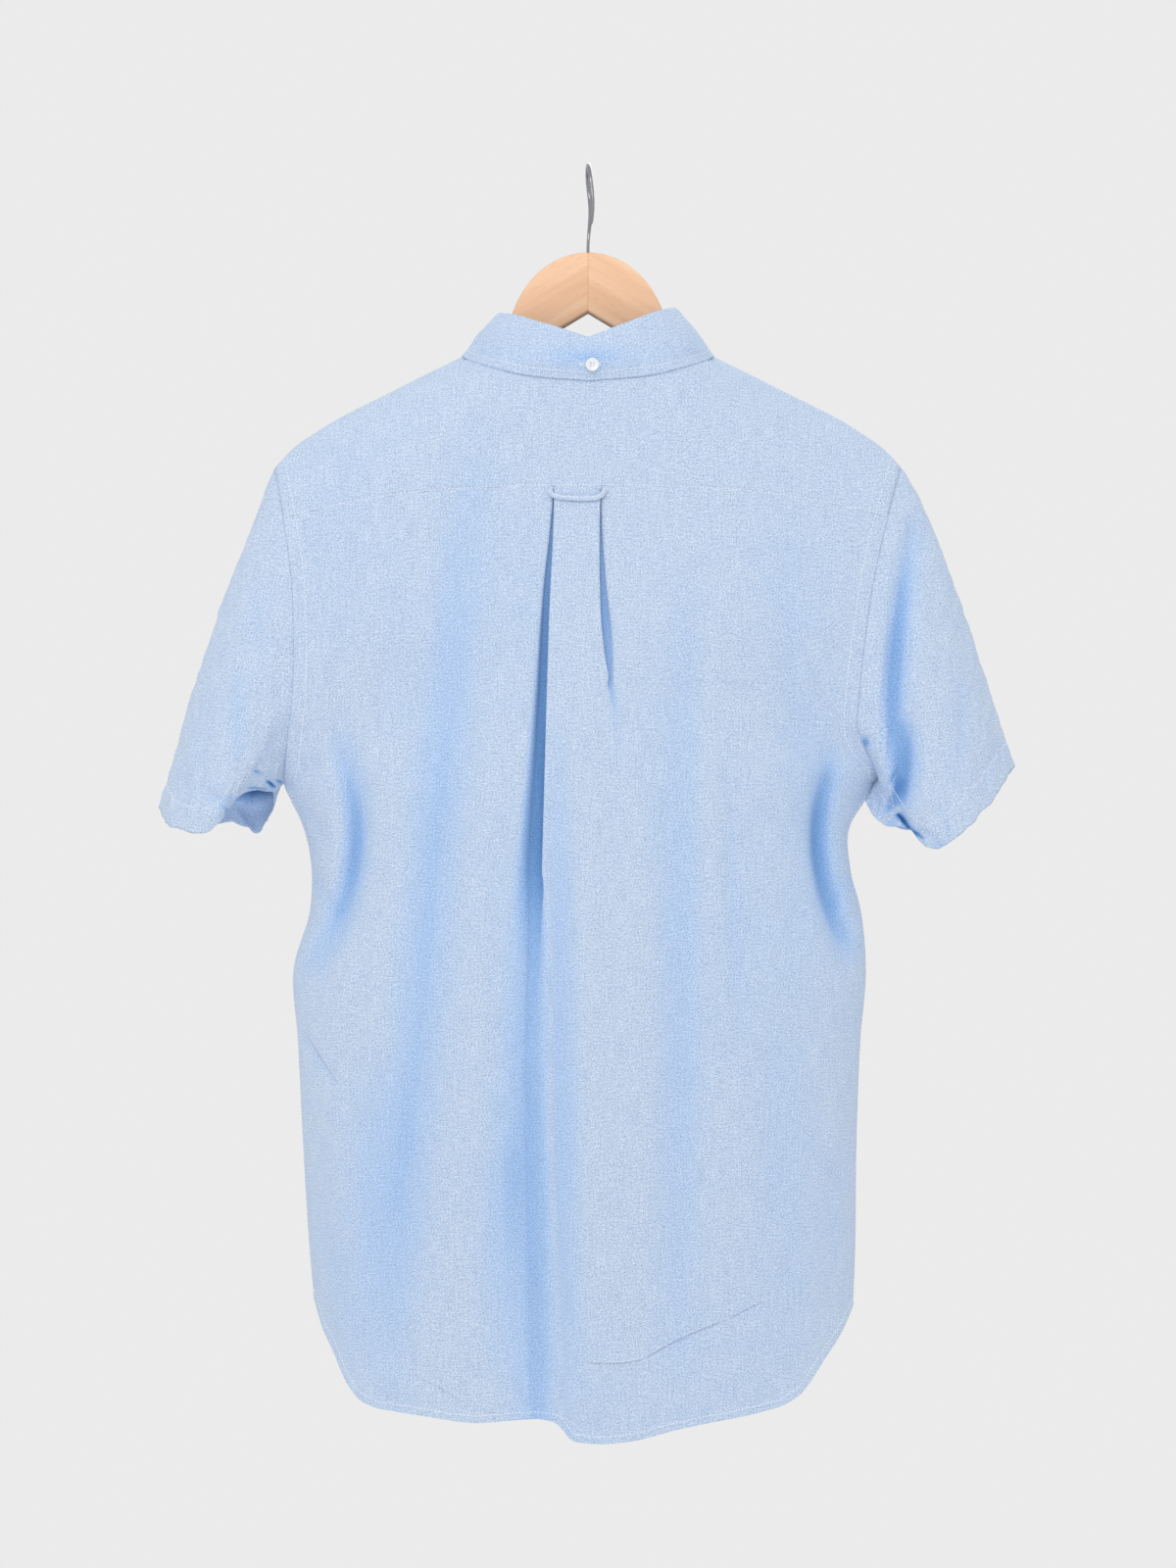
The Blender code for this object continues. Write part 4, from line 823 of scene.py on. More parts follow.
def add_piece(
    mesh: bpy.types.Mesh, name: str, material: bpy.types.Material, slot: str, *replaced: str
) -> bpy.types.Object:
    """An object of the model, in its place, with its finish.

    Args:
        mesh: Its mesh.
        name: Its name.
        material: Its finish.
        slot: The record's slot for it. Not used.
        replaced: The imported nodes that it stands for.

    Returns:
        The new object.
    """
    mesh.polygons.foreach_set("use_smooth", np.ones(len(mesh.polygons), dtype=bool))
    mesh.materials.append(material)
    thing = linked(name, mesh)
    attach(thing, "root")
    if replaced:
        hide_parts(*replaced)
    LOG.info("%s: %d faces", name, len(mesh.polygons))
    return thing


class Needlework:
    """The stitches of one piece of sewing, gathered and made one mesh."""

    def __init__(self, name: str, radius: float = 0.32) -> None:
        """Starts with no stitches."""
        self.name, self.radius = name, radius
        self.stitches: list[Matrix] = []

    def stitch(self, place: Floats, along: Floats, normal: Floats, length: float) -> None:
        """One stitch.

        Args:
            place: Its middle.
            along: The direction that it lies in.
            normal: The cloth's normal there.
            length: How long it is.
        """
        side = np.cross(normal, along)
        turned = Matrix([[*column] for column in zip(along, side, normal)]).to_4x4()
        turned.translation = Vector(place * MM)
        size = Matrix.Diagonal((length / 2 * MM, self.radius * MM, self.radius * 0.8 * MM, 1))
        self.stitches.append(turned @ size)

    def row(
        self, points: Floats, normals: Floats, lift: float = 0.34, pitch: float = 2.7, length: float = 2.1
    ) -> None:
        """A row of stitches along a line.

        Args:
            points: The line.
            normals: The cloth's normals along it.
            lift: How far the stitches stand off it.
            pitch: From one stitch to the next.
            length: How long each is.
        """
        reach = lengths(points)
        count = max(int(reach[-1] / pitch), 1)
        at = (np.arange(count) + 0.5) * reach[-1] / count
        half = length / 2

        def sampled(values: Floats, where: Floats) -> Floats:
            """The line's values at these lengths."""
            return np.stack([np.interp(where, reach, values[:, k]) for k in range(3)], axis=-1)

        place, normal = sampled(points, at), unit(sampled(normals, at))
        along = unit(sampled(points, at + half) - sampled(points, at - half))
        along = unit(along - np.sum(along * normal, axis=-1, keepdims=True) * normal)
        for p, a, n in zip(place + normal * lift, along, normal):
            self.stitch(p, a, n, length)

    def follow(
        self, sheet: Sheet, edge: Edge, inset: float, part: slice = slice(None), **settings: float
    ) -> None:
        """A row of stitches at a distance inside an edge of a sheet, or along a part of that edge."""
        points, normals = sheet.path(edge, inset)
        self.row(points[part], normals[part], **settings)

    def build(self, material: bpy.types.Material) -> bpy.types.Object:
        """The mesh of all the stitches, as a piece.

        Args:
            material: The thread's finish.

        Returns:
            The new object.
        """
        one, mesh = bpy.data.meshes.new("pattern"), bpy.data.meshes.new(self.name)
        with edited(one) as form:
            bmesh.ops.create_uvsphere(form, u_segments=6, v_segments=4, radius=1)
            bmesh.ops.rotate(form, verts=form.verts[:], matrix=Matrix.Rotation(math.pi / 2, 3, "Y"))
        co = np.zeros(len(one.vertices) * 3)
        one.vertices.foreach_get("co", co)
        co = np.concatenate([co.reshape(-1, 3), np.ones((len(one.vertices), 1))], axis=1)
        with edited(mesh) as form:
            for _ in self.stitches:
                form.from_mesh(one)
        bpy.data.meshes.remove(one)
        placed = np.einsum("sij,vj->svi", np.array([list(map(list, m)) for m in self.stitches]), co)[..., :3]
        mesh.vertices.foreach_set("co", placed.ravel())
        mesh.update()
        return add_piece(mesh, self.name, material, "oxford_cloth")


def tube(name: str, rings: Floats) -> bpy.types.Mesh:
    """A closed mesh with its ends filled.

    Args:
        name: The mesh's name.
        rings: Rings of points in millimetres, [ring, point, xyz].

    Returns:
        The new mesh.
    """
    around = wrapped(rings)
    flat = np.meshgrid(lengths(around[:, 0]), lengths(rings.mean(axis=1)), indexing="ij")
    mesh = grid_mesh(name, around * MM, True, np.stack(flat, axis=-1) * MM)
    with edited(mesh) as form:
        bmesh.ops.holes_fill(form, edges=[e for e in form.edges if e.is_boundary], sides=0)
        bmesh.ops.recalc_face_normals(form, faces=form.faces[:])
    return mesh


def wrapped(rings: Floats) -> Floats:
    """Rings as a grid whose last column lies on the first."""
    return np.concatenate([rings, rings[:, :1]], axis=1).swapaxes(0, 1)


def smooth_by_angle(piece: bpy.types.Object, degrees: float) -> None:
    """Smooth shading that stops at sharp edges.

    Args:
        piece: The piece.
        degrees: The angle past which an edge is sharp.
    """
    with edited(piece.data) as form:
        for edge in form.edges:
            if edge.is_manifold and edge.calc_face_angle(0) > math.radians(degrees):
                edge.smooth = False


def sweep(path: Floats, wide: Floats | float, tall: Floats | float, side: Floats, sides: int) -> Floats:
    """Rings of an oval section along a path.

    Args:
        path: Points of the path.
        wide: Half width along side.
        tall: Half height across it.
        side: A direction that the section's width keeps to.
        sides: Points to a ring.

    Returns:
        The rings, [ring, point, xyz].
    """
    along = unit(np.gradient(path, axis=0))
    across = unit(side - along * np.sum(along * side, axis=-1, keepdims=True))
    up = np.cross(along, across)
    turn = np.linspace(0, 2 * np.pi, sides, endpoint=False)[None, :, None]
    wide = np.broadcast_to(wide, len(path))[:, None, None]
    tall = np.broadcast_to(tall, len(path))[:, None, None]
    return path[:, None] + wide * np.cos(turn) * across[:, None] + tall * np.sin(turn) * up[:, None]


# Finishes


class Value:
    """A node's output in an expression: arithmetic on it adds Math nodes."""

    def __init__(self, nodes: "Nodes", socket: bpy.types.NodeSocket) -> None:
        """Wraps a socket."""
        self.nodes, self.socket = nodes, socket

    def beside(self, name: str) -> "Value":
        """Another output of the same node."""
        return Value(self.nodes, self.socket.node.outputs[name])

    def math(self, operation: str, *others: "Value | float") -> "Value":
        """A Math node on this and others."""
        return self.nodes.add("Math", {"operation": operation}, dict(enumerate((self, *others))))

    def __rsub__(self, other: float) -> "Value":
        """Other less this."""
        return self.nodes.add("Math", {"operation": "SUBTRACT"}, {0: other, 1: self})

    __add__ = __radd__ = partialmethod(math, "ADD")
    __mul__ = __rmul__ = partialmethod(math, "MULTIPLY")
    __sub__ = partialmethod(math, "SUBTRACT")


class Nodes:
    """The node tree of one material, with one way to add a node."""

    def __init__(self, name: str) -> None:
        """A new material with its surface shader.

        Args:
            name: Its name.
        """
        self.material = bpy.data.materials.new(name)
        self.material.use_nodes = True
        self.tree = self.material.node_tree
        self.shader = next(n for n in self.tree.nodes if n.type == "BSDF_PRINCIPLED")

    def add(
        self, kind: str, settings: dict[str, Any], inputs: dict[int | str, Any], output: int | str = 0
    ) -> Value:
        """A node with its settings made first and then its inputs.

        Args:
            kind: Its type, without the ShaderNode before it.
            settings: Its properties. Stops, for a ramp, are pairs of a place and a colour.
            inputs: Values or links of its sockets, by number or name.
            output: Which output is wanted.

        Returns:
            That output.
        """
        node = self.tree.nodes.new("ShaderNode" + kind)
        for name, value in settings.items():
            if name == "stops":
                while len(node.color_ramp.elements) < len(value):
                    node.color_ramp.elements.new(0.5)
                for element, (place, colour) in zip(node.color_ramp.elements, value):
                    element.position, element.color = place, colour
            else:
                setattr(node, name, value)
        for name, value in inputs.items():
            self.put(node.inputs[name], value)
        return Value(self, node.outputs[output])

    def put(self, socket: bpy.types.NodeSocket, value: Any) -> None:
        """Links a value to a socket, or sets a constant on it."""
        if isinstance(value, Value):
            self.tree.links.new(value.socket, socket)
        else:
            socket.default_value = value

    def surface(self, **inputs: Any) -> bpy.types.Material:
        """Sets the surface shader's inputs.

        Args:
            inputs: Values or links by the inputs' names, with _ for a space.

        Returns:
            The material.
        """
        for name, value in inputs.items():
            self.put(self.shader.inputs[name.replace("_", " ")], value)
        return self.material

    def mix(self, factor: Value | float, one: Value | Colour, two: Value | Colour) -> Value:
        """A colour between two."""
        return self.add("Mix", {"data_type": "RGBA"}, {0: factor, 6: one, 7: two}, 2)

    def clamp(self, value: Value) -> Value:
        """A value kept from 0 to 1."""
        return self.add("Clamp", {}, {"Value": value})

    def noise(self, place: Value, scale: float, detail: float = 2.0) -> Value:
        """Noise from 0 to 1."""
        return self.add("TexNoise", {}, {"Vector": place, "Scale": scale, "Detail": detail}, "Fac")

    def place(self) -> Value:
        """The piece's own coordinates."""
        return self.add("TexCoord", {}, {}, "Object")

    def scaled(self, place: Value, scale: tuple[float, float, float]) -> Value:
        """A place stretched along its axes."""
        return self.add("Mapping", {}, {"Vector": place, "Scale": scale}, "Vector")

    def bump(self, height: Value, strength: float, distance: float) -> Value:
        """A normal tilted by a height."""
        return self.add("Bump", {}, {"Height": height, "Strength": strength, "Distance": distance}, "Normal")


@dataclass(frozen=True)
class Oxford:
    """Light blue oxford cloth: blue warp and white weft in a small basket weave."""

    warp: Colour = (0.365, 0.52, 0.785, 1)
    weft: Colour = (0.71, 0.785, 0.87, 1)
    # Painted shade: the darker, bluer colours that valleys, deep folds and narrow creases turn the cloth
    # towards.
    valley_shade: Colour = (0.385, 0.57, 0.89, 1)
    depth: Colour = (0.05, 0.235, 0.55, 1)
    crease_shade: Colour = (0.03, 0.10, 0.30, 1)
    pitch: float = 0.0011
    speckle: float = 1.35
    roughness: float = 0.88

    def material(self, name: str) -> bpy.types.Material:
        """The finish, on the cloth's own map, with painted shade in its folds and creases, and painted shade
        and highlight at its pressed lines.

        Args:
            name: The material's name.

        Returns:
            The material.
        """
        n = Nodes(name)
        cloth = n.add("UVMap", {"uv_map": "cloth"}, {}, "UV")
        u = n.add("SeparateXYZ", {}, {"Vector": cloth}, "X")
        v = u.beside("Y")
        wave = 2 * math.pi / self.pitch
        wander = n.noise(cloth, 220.0, 1.0) * 2.2
        across, down = u * wave + wander, v * wave + wander
        weave = across.math("SINE") * down.math("SINE")
        picks = n.noise(n.scaled(cloth, (110, 1300, 1)), 1.0, 2.0) - 0.5
        ends = n.noise(n.scaled(cloth, (1000, 45, 1)), 1.0, 2.0) - 0.5
        speck = n.noise(cloth, 950.0, 2.0) - 0.5
        cloud = n.noise(cloth, 60.0, 3.0) - 0.5
        # Painted shade: below nought, the yarn colour is mixed towards the three shade colours, deeper folds
        # further.
        tone = n.add("Attribute", {"attribute_name": "tone"}, {}, "Fac")
        threads = weave * 0.1 + picks * 0.34 + ends * 0.24 + speck * 0.45 + cloud * 0.2
        yarn = n.mix(n.clamp(0.5 + threads), self.warp, self.weft)
        shaded = n.mix(n.clamp(tone * -1.6), yarn, self.valley_shade)
        shaded = n.mix(n.clamp(tone * -1.1 - 0.42), shaded, self.depth)
        shaded = n.mix(n.clamp(tone * -1.0 - 1.15), shaded, self.crease_shade)
        grain = 1.0 + (speck + picks * 0.22 + ends * 0.15) * self.speckle
        line, edge = self.pressed(n)
        # Painted shade darkens the pressed lines and a painted highlight lightens the cloth beside them.
        grain = grain - line * 0.27 + edge * 0.1
        colour = n.add("VectorMath", {"operation": "SCALE"}, {0: shaded, "Scale": grain}, "Vector")
        crepe = n.noise(n.scaled(cloth, (190, 420, 1)), 1.0, 2.0)
        height = weave * 0.4 + picks * 0.4 + ends * 0.3 + crepe * 0.22 - line * 2.0 + edge
        return n.surface(
            Base_Color=colour, Roughness=self.roughness, Sheen_Weight=0.15, Sheen_Roughness=0.5,
            Specular_IOR_Level=0.2, Normal=n.bump(height, 0.5, 0.0003),
        )

    def pressed(self, n: Nodes) -> tuple[Value, Value]:
        """The fine lines that folding has pressed into the back, on object coordinates, with painted shade
        and highlight.

        Args:
            n: The material's nodes.

        Returns:
            The lines, darkened as painted shade, and the raised cloth beside them, lightened as a painted
            highlight, each from 0 to 1.
        """
        x = n.add("SeparateXYZ", {}, {"Vector": n.place()}, "X")
        on_back = n.clamp(x.beside("Y") * 1000.0)
        x, z = x * (1 / MM), x.beside("Z") * (1 / MM)
        lines: list[Value | float] = [0.0, 0.0]
        for x0, z0, x1, z1, bow, width, strength in np.array(list(PRESSED.columns.values())).T.tolist():
            length = math.hypot(x1 - x0, z1 - z0)
            run, rise = (x1 - x0) / length, (z1 - z0) / length
            along = (x - x0) * run + (z - z0) * rise
            share = along * (1 / length)
            beside = (x - x0) * -rise + (z - z0) * run - share * (1.0 - share) * (4 * bow)
            fade = n.clamp(along * 0.12) * n.clamp((length - along) * 0.12) * on_back * strength
            for k, offset in enumerate((0.0, 1.5 * width)):
                away = (beside + offset) * (1 / width)
                lines[k] = lines[k] + (away * away * -1.0).math("EXPONENT") * fade
        return n.clamp(lines[0]), n.clamp(lines[1])


@dataclass(frozen=True)
class Thread:
    """White cotton thread, twisted."""

    pale: Colour = (0.96, 0.97, 0.99, 1)
    deep: Colour = (0.86, 0.90, 0.97, 1)

    def material(self, name: str) -> bpy.types.Material:
        """The finish, on object coordinates.

        Args:
            name: The material's name.

        Returns:
            The material.
        """
        n = Nodes(name)
        place = n.place()
        fuzz = n.noise(place, 900.0, 2.0)
        return n.surface(Base_Color=n.mix(fuzz, self.deep, self.pale), Roughness=0.8, Sheen_Weight=0.2,
                         Normal=n.bump(fuzz, 0.3, 0.0001))


@dataclass(frozen=True)
class Resin:
    """Polished white resin of a shirt button."""

    pale: Colour = (0.86, 0.88, 0.90, 1)
    deep: Colour = (0.74, 0.77, 0.80, 1)

    def material(self, name: str) -> bpy.types.Material:
        """The finish, on object coordinates.

        Args:
            name: The material's name.

        Returns:
            The material.
        """
        n = Nodes(name)
        place = n.place()
        cloud = n.noise(place, 260.0, 3.0)
        return n.surface(Base_Color=n.mix(cloud, self.deep, self.pale), Roughness=0.32, Coat_Weight=0.3,
                         Normal=n.bump(n.noise(place, 700.0, 1.0), 0.05, 0.0001))


@dataclass(frozen=True)
class Beech:
    """Satin lacquered beech, whose grain runs along each arm of the hanger.

    Grain, rings and rays are patterns: their scales along, through and across the arm, and their detail.
    """

    pale: Colour = (0.99, 0.67, 0.45, 1)
    deep: Colour = (0.83, 0.47, 0.27, 1)
    fleck: Colour = (0.55, 0.28, 0.14, 1)
    # Painted shade: the colour that the wood darkens to where its surface turns away from the view.
    rim: Colour = (0.50, 0.25, 0.13, 1)
    slope: float = 0.52
    grain: tuple[float, ...] = (9.0, 150.0, 150.0, 5.0)
    rings: tuple[float, ...] = (3.0, 30.0, 42.0, 3.0)
    rays: tuple[float, ...] = (110.0, 600.0, 600.0, 1.0)

    def material(self, name: str) -> bpy.types.Material:
        """The finish, on object coordinates, mirrored about the glued mitre, with painted shade towards its
        rims.

        Args:
            name: The material's name.

        Returns:
            The material.
        """
        n = Nodes(name)
        place = n.place()
        x = n.add("SeparateXYZ", {}, {"Vector": place}, "X")
        y, z = x.beside("Y"), x.beside("Z")
        far = x.math("ABSOLUTE")
        turn, lean = math.cos(self.slope), math.sin(self.slope)
        along = far * turn - z * lean + x.math("SIGN") * 0.37
        across = far * lean + z * turn
        fine, broad, dots = (
            n.noise(n.add("CombineXYZ", {}, {"X": along * a, "Y": y * b, "Z": across * c}), 1.0, detail)
            for a, b, c, detail in (self.grain, self.rings, self.rays)
        )
        wood = n.mix(n.clamp((fine - 0.5) * 1.5 + (broad - 0.5) * 1.6 + 0.5), self.deep, self.pale)
        stops = ((0.66, (0, 0, 0, 1)), (0.76, (1, 1, 1, 1)))
        spots = n.add("ValToRGB", {"stops": stops}, {"Fac": dots}, "Color")
        glued = n.clamp(1.0 - far * 2600.0)
        wood = n.mix(n.clamp(spots * 0.3 + glued * 0.7), wood, self.fleck)
        # Painted shade: darker towards the rims, by how far the surface turns away from the view.
        rim = n.add("LayerWeight", {}, {"Blend": 0.35}, "Facing")
        wood = n.mix(n.clamp(rim * 1.4 - 0.5), wood, self.rim)
        return n.surface(Base_Color=wood, Roughness=0.55, Specular_IOR_Level=0.25,
                         Normal=n.bump(fine, 0.12, 0.0003))


@dataclass(frozen=True)
class PlatedWire:
    """Bright plated steel wire, a little dulled."""

    pale: Colour = (0.34, 0.35, 0.37, 1)
    deep: Colour = (0.24, 0.25, 0.27, 1)

    def material(self, name: str) -> bpy.types.Material:
        """The finish, on object coordinates.

        Args:
            name: The material's name.

        Returns:
            The material.
        """
        n = Nodes(name)
        place = n.place()
        drawn = n.noise(n.scaled(place, (1, 1, 0.1)), 420.0, 2.0)
        return n.surface(Base_Color=n.mix(drawn, self.deep, self.pale), Metallic=1.0,
                         Roughness=drawn * 0.08 + 0.16)


@dataclass(frozen=True)
class Painted:
    """Matt paper or paint of the studio."""

    pale: Colour = (0.86, 0.86, 0.86, 1)
    cloud: float = 0.97

    def material(self, name: str) -> bpy.types.Material:
        """The finish, on object coordinates.

        Args:
            name: The material's name.

        Returns:
            The material.
        """
        n = Nodes(name)
        place = n.place()
        deep = tuple(c * self.cloud for c in self.pale[:3]) + (1,)
        return n.surface(Base_Color=n.mix(n.noise(place, 3.0, 2.0), deep, self.pale), Roughness=0.9)


# The shirt


@dataclass
class Shirt:
    """What the shirt's parts share: its finishes, the cloth's thickness, its hem and seam sizes, and the
    pieces made.
    """

    cloth: bpy.types.Material
    # Painted light: the inside's finish is the oxford made paler and bluer, for light coming through the
    # cloth.
    inside: bpy.types.Material
    thread: bpy.types.Material
    resin: bpy.types.Material
    thickness: float = 0.55
    hem: float = 6.0
    hem_row: float = 5.1
    felled: float = 9.5
    sunk: float = 0.2
    made: dict[str, bpy.types.Object] = field(default_factory=dict)
    sheets: dict[str, Sheet] = field(default_factory=dict)

    def keep(self, name: str, sheet: Sheet, *replaced: str, thickness: float | None = None) -> None:
        """Makes a sheet a thin shell that faces outwards, and remembers both.

        Args:
            name: The piece's name.
            sheet: The sheet.
            replaced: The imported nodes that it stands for.
            thickness: Millimetres through it, or None for the cloth's own.
        """
        tone = sheet.tone if sheet.tone is not None else np.zeros(sheet.points.shape[:2])
        mesh = grid_mesh(name, sheet.points * MM, sheet.closed, sheet.woven() * MM, tone)
        normals = sheet.normals().reshape(-1, 3)
        with edited(mesh) as form:
            total = 0.0
            for face in form.faces[:][:: max(len(form.faces) // FACES_TRIED, 1)]:
                centre = np.array(face.calc_center_median()) / MM
                nearest = np.argmin(np.sum((sheet.points - centre) ** 2, axis=-1))
                total += float(np.dot(face.normal, normals[nearest]))
            if total < 0:
                bmesh.ops.reverse_faces(form, faces=form.faces[:])
        thing = add_piece(mesh, name, self.cloth, "oxford_cloth", *replaced)
        mesh.materials.append(self.inside)
        wall = thing.modifiers.new("thickness", "SOLIDIFY")
        wall.material_offset = 1
        wall.thickness = (thickness or self.thickness) * MM
        wall.offset = 0
        self.sheets[name], self.made[name] = sheet, thing

    def sew(self, work: Needlework) -> None:
        """Makes the stitches a piece."""
        work.build(self.thread)


ENDS_CLOSER = 0.4
HEM_ROWS = (9.5, 7.8, 6.6, 5.9, 5.2, 4.2, 2.8, 1.3, 0.4, 0.0)


def rows_between(top: Floats, hem: Floats, above: int, below: int) -> Floats:
    """Heights from top to the armpit, closing up towards it, and evenly from there to above the hem's fold.

    Args:
        top: Height of the first row in each column.
        hem: Height of the last.
        above: Spans above the armpit.
        below: Spans below it.

    Returns:
        Heights, [column, row].
    """
    top, hem = np.asarray(top, float)[:, None], np.asarray(hem, float)[:, None]
    upper = top + (ARMPIT - top) * np.sin(np.linspace(0, np.pi / 2, above + 1))[None, :]
    edge = np.array(HEM_ROWS)
    share = np.linspace(0, 1, below - len(edge) + 2)[1:]
    share = share - ENDS_CLOSER / (2 * np.pi) * np.sin(2 * np.pi * share)
    lower = ARMPIT + (hem + edge[0] - ARMPIT) * share
    return np.concatenate([upper, lower, hem + edge[None, 1:]], axis=1)


@dataclass
class Back:
    """The back panel with its box pleat, from the left side seam to the right one."""

    shirt: Shirt
    side_spans: int = 7
    gap_spans: int = 4
    fold_spans: int = 3
    middle_spans: int = 5
    above: int = 84
    below: int = 140
    tucked: float = 4.0
    under: float = 0.7
    seated: float = 12.0
    side_row: float = 5.5

    def pleat_column(self, side: Side, index: int, z: Floats) -> tuple[Floats, Floats]:
        """One of the nine lines that make a pleat's edge, from the side inwards.

        Args:
            side: Which edge of the pleat.
            index: Which line.
            z: Heights.

        Returns:
            Places across, and lifts.
        """
        name = side.name.lower()
        edge = side.value * PLEAT.at(name, z)
        tuck, gap, soft = (PLEAT.at(name + kind, z) for kind in ("_tuck", "_gap", "_soft"))
        proud = PLEAT.at("proud", z)
        shut = np.clip(tuck / 3, 0, 1)
        floor = -np.maximum(PLEAT.at(name + "_depth", z), (LIFT - 0.1) * shut)
        folded = (
            (gap + soft, 0 * z), (gap + 0.2 * soft, 0.4 * floor), (0.75 * gap, floor), (-0.6 * tuck, floor),
            (-tuck - 0.9, 0.5 * floor), (-0.6 * tuck, 0 * z), (0.2 + 0 * z, 0.1 * proud),
            (0.5 + 0 * z, 0.75 * proud), (-3.0 + 0 * z, proud),
        )[index]
        opened = (
            (gap + soft, 0 * z), (0.87 * gap, 0.5 * floor), (0.64 * gap, 0.9 * floor), (0.44 * gap, floor),
            (0.23 * gap, 0.85 * floor), (0.4 + 0 * z, 0.55 * floor), (-3.4 + 0 * z, 0.22 * floor),
            (-8.0 + 0 * z, 0.3 * proud), (-12.5 + 0 * z, proud),
        )[index]
        x = edge + opened[0] + (folded[0] - opened[0]) * shut
        return side.value * x, opened[1] + (folded[1] - opened[1]) * shut

    def side_column(self, side: Side, index: int, z: Floats) -> tuple[Floats, Floats]:
        """One of the lines between a side seam and the pleat, from the seam inwards.

        Args:
            side: Which side.
            index: Which line.
            z: Heights.

        Returns:
            Places across, and lifts.
        """
        name, sign = side.name.lower(), side.value
        width = FORM.half_width(sign, z)
        start = sign * PLEAT.at(name, z) + PLEAT.at(name + "_gap", z) + PLEAT_CLEAR
        angle = np.pi / 2 + (np.arcsin(start / width) - np.pi / 2) * index / (SIDE_COLUMNS - 1)
        return sign * width * np.sin(angle), 0 * z

    def middle_column(self, z: Floats) -> tuple[Floats, Floats]:
        """The pleat's middle line."""
        return (PLEAT.at("left", z) + PLEAT.at("right", z)) / 2, PLEAT.at("proud", z)

    def sheet(self) -> Sheet:
        """The panel's cloth.

        Returns:
            The sheet.
        """
        half = [(self.side_column, i) for i in range(SIDE_COLUMNS)]
        half += [(self.pleat_column, i) for i in range(PLEAT_COLUMNS)]
        lines = [partial(shape, Side.LEFT, i) for shape, i in half] + [self.middle_column]
        lines += [partial(shape, Side.RIGHT, i) for shape, i in reversed(half)]
        spans = [self.side_spans] * (SIDE_COLUMNS - 1) + [self.gap_spans]
        spans += [self.fold_spans] * (PLEAT_COLUMNS - 1) + [self.middle_spans]
        across = finer(lines, spans + spans[::-1])
        number = np.arange(len(lines))
        x_top = smooth(number, [float(line(np.array(YOKE_BACK))[0]) for line in lines], across)
        x_hem = smooth(number, [float(line(np.array(HEM_LEVEL))[0]) for line in lines], across)
        at_side = FORM.half_width(x_hem, SIDE_SEAM_HEM) / FORM.half_width(x_hem, HEM_LEVEL)
        hem = BACK_HEM.at("z", x_hem * at_side)
        z = rows_between(FORM.yoke_line(x_top) + self.tucked, hem, self.above, self.below)
        coarse = np.rint(np.interp(number, across, np.arange(len(across)))).astype(int)
        shapes = [line(z[i]) for line, i in zip(lines, coarse)]
        x = smooth(number, [s[0] for s in shapes], across)
        lift = smooth(number, [s[1] for s in shapes], across)
        down = FORM.yoke_line(x_top)[:, None] - z
        seated = 0.1 + 0.9 * eased(0, self.seated, down)
        dark = 0.6 + 0.35 * eased(-600, -500, z)
        shade = -dark * (1 - np.exp(np.minimum(lift, 0) / 2.2)) * eased(0, self.seated / 3, down)
        lift = np.where(lift > 0, lift * seated, lift) - self.under * (1 - eased(-3, 0.3, down))
        points = FORM.on_body(x, z, Face.BACK, lift)
        # Painted shade: darker in the folds and in the pleat's valleys.
        tone = FORM.relief(x, z, Face.BACK) / SHADE_TONE_DEPTH + shade
        return self.finished(Sheet(points, np.array([0, 1.0, 0]), tone=tone))

    def finished(self, made: Sheet) -> Sheet:
        """The panel with the thickness of its hem and the pull of its seams.

        Args:
            made: The plain sheet.

        Returns:
            The sheet as sewn.
        """
        first, last, high, low = made.reaches()
        lift = 0.35 * (1 - eased(self.shirt.hem - 0.8, self.shirt.hem + 0.8, low))
        lift = lift + puckers(first, np.abs(low - self.shirt.hem), 31, 6.5, 0.3)
        lift = lift + puckers(first, high, 32, 6.0, reach=7.0)
        for away, seed in ((first, 33), (last, 34)):
            lift = lift + puckers(high, np.abs(away - self.shirt.felled), seed)
        return made.pushed(lift * (1 - np.exp(-np.minimum(first, last) / 3)))

    def build(self) -> None:
        """Makes the panel and its stitches."""
        sheet = self.sheet()
        self.shirt.keep("shirt_back", sheet, "back")
        work = Needlework("back_stitches")
        work.follow(sheet, Edge.LAST_ROW, self.shirt.hem_row)
        for edge in SIDES:
            work.follow(sheet, edge, self.shirt.felled, slice(self.above - 4), lift=self.shirt.sunk)
            work.follow(sheet, edge, self.side_row, slice(self.above + 4, -2))
        self.shirt.sew(work)


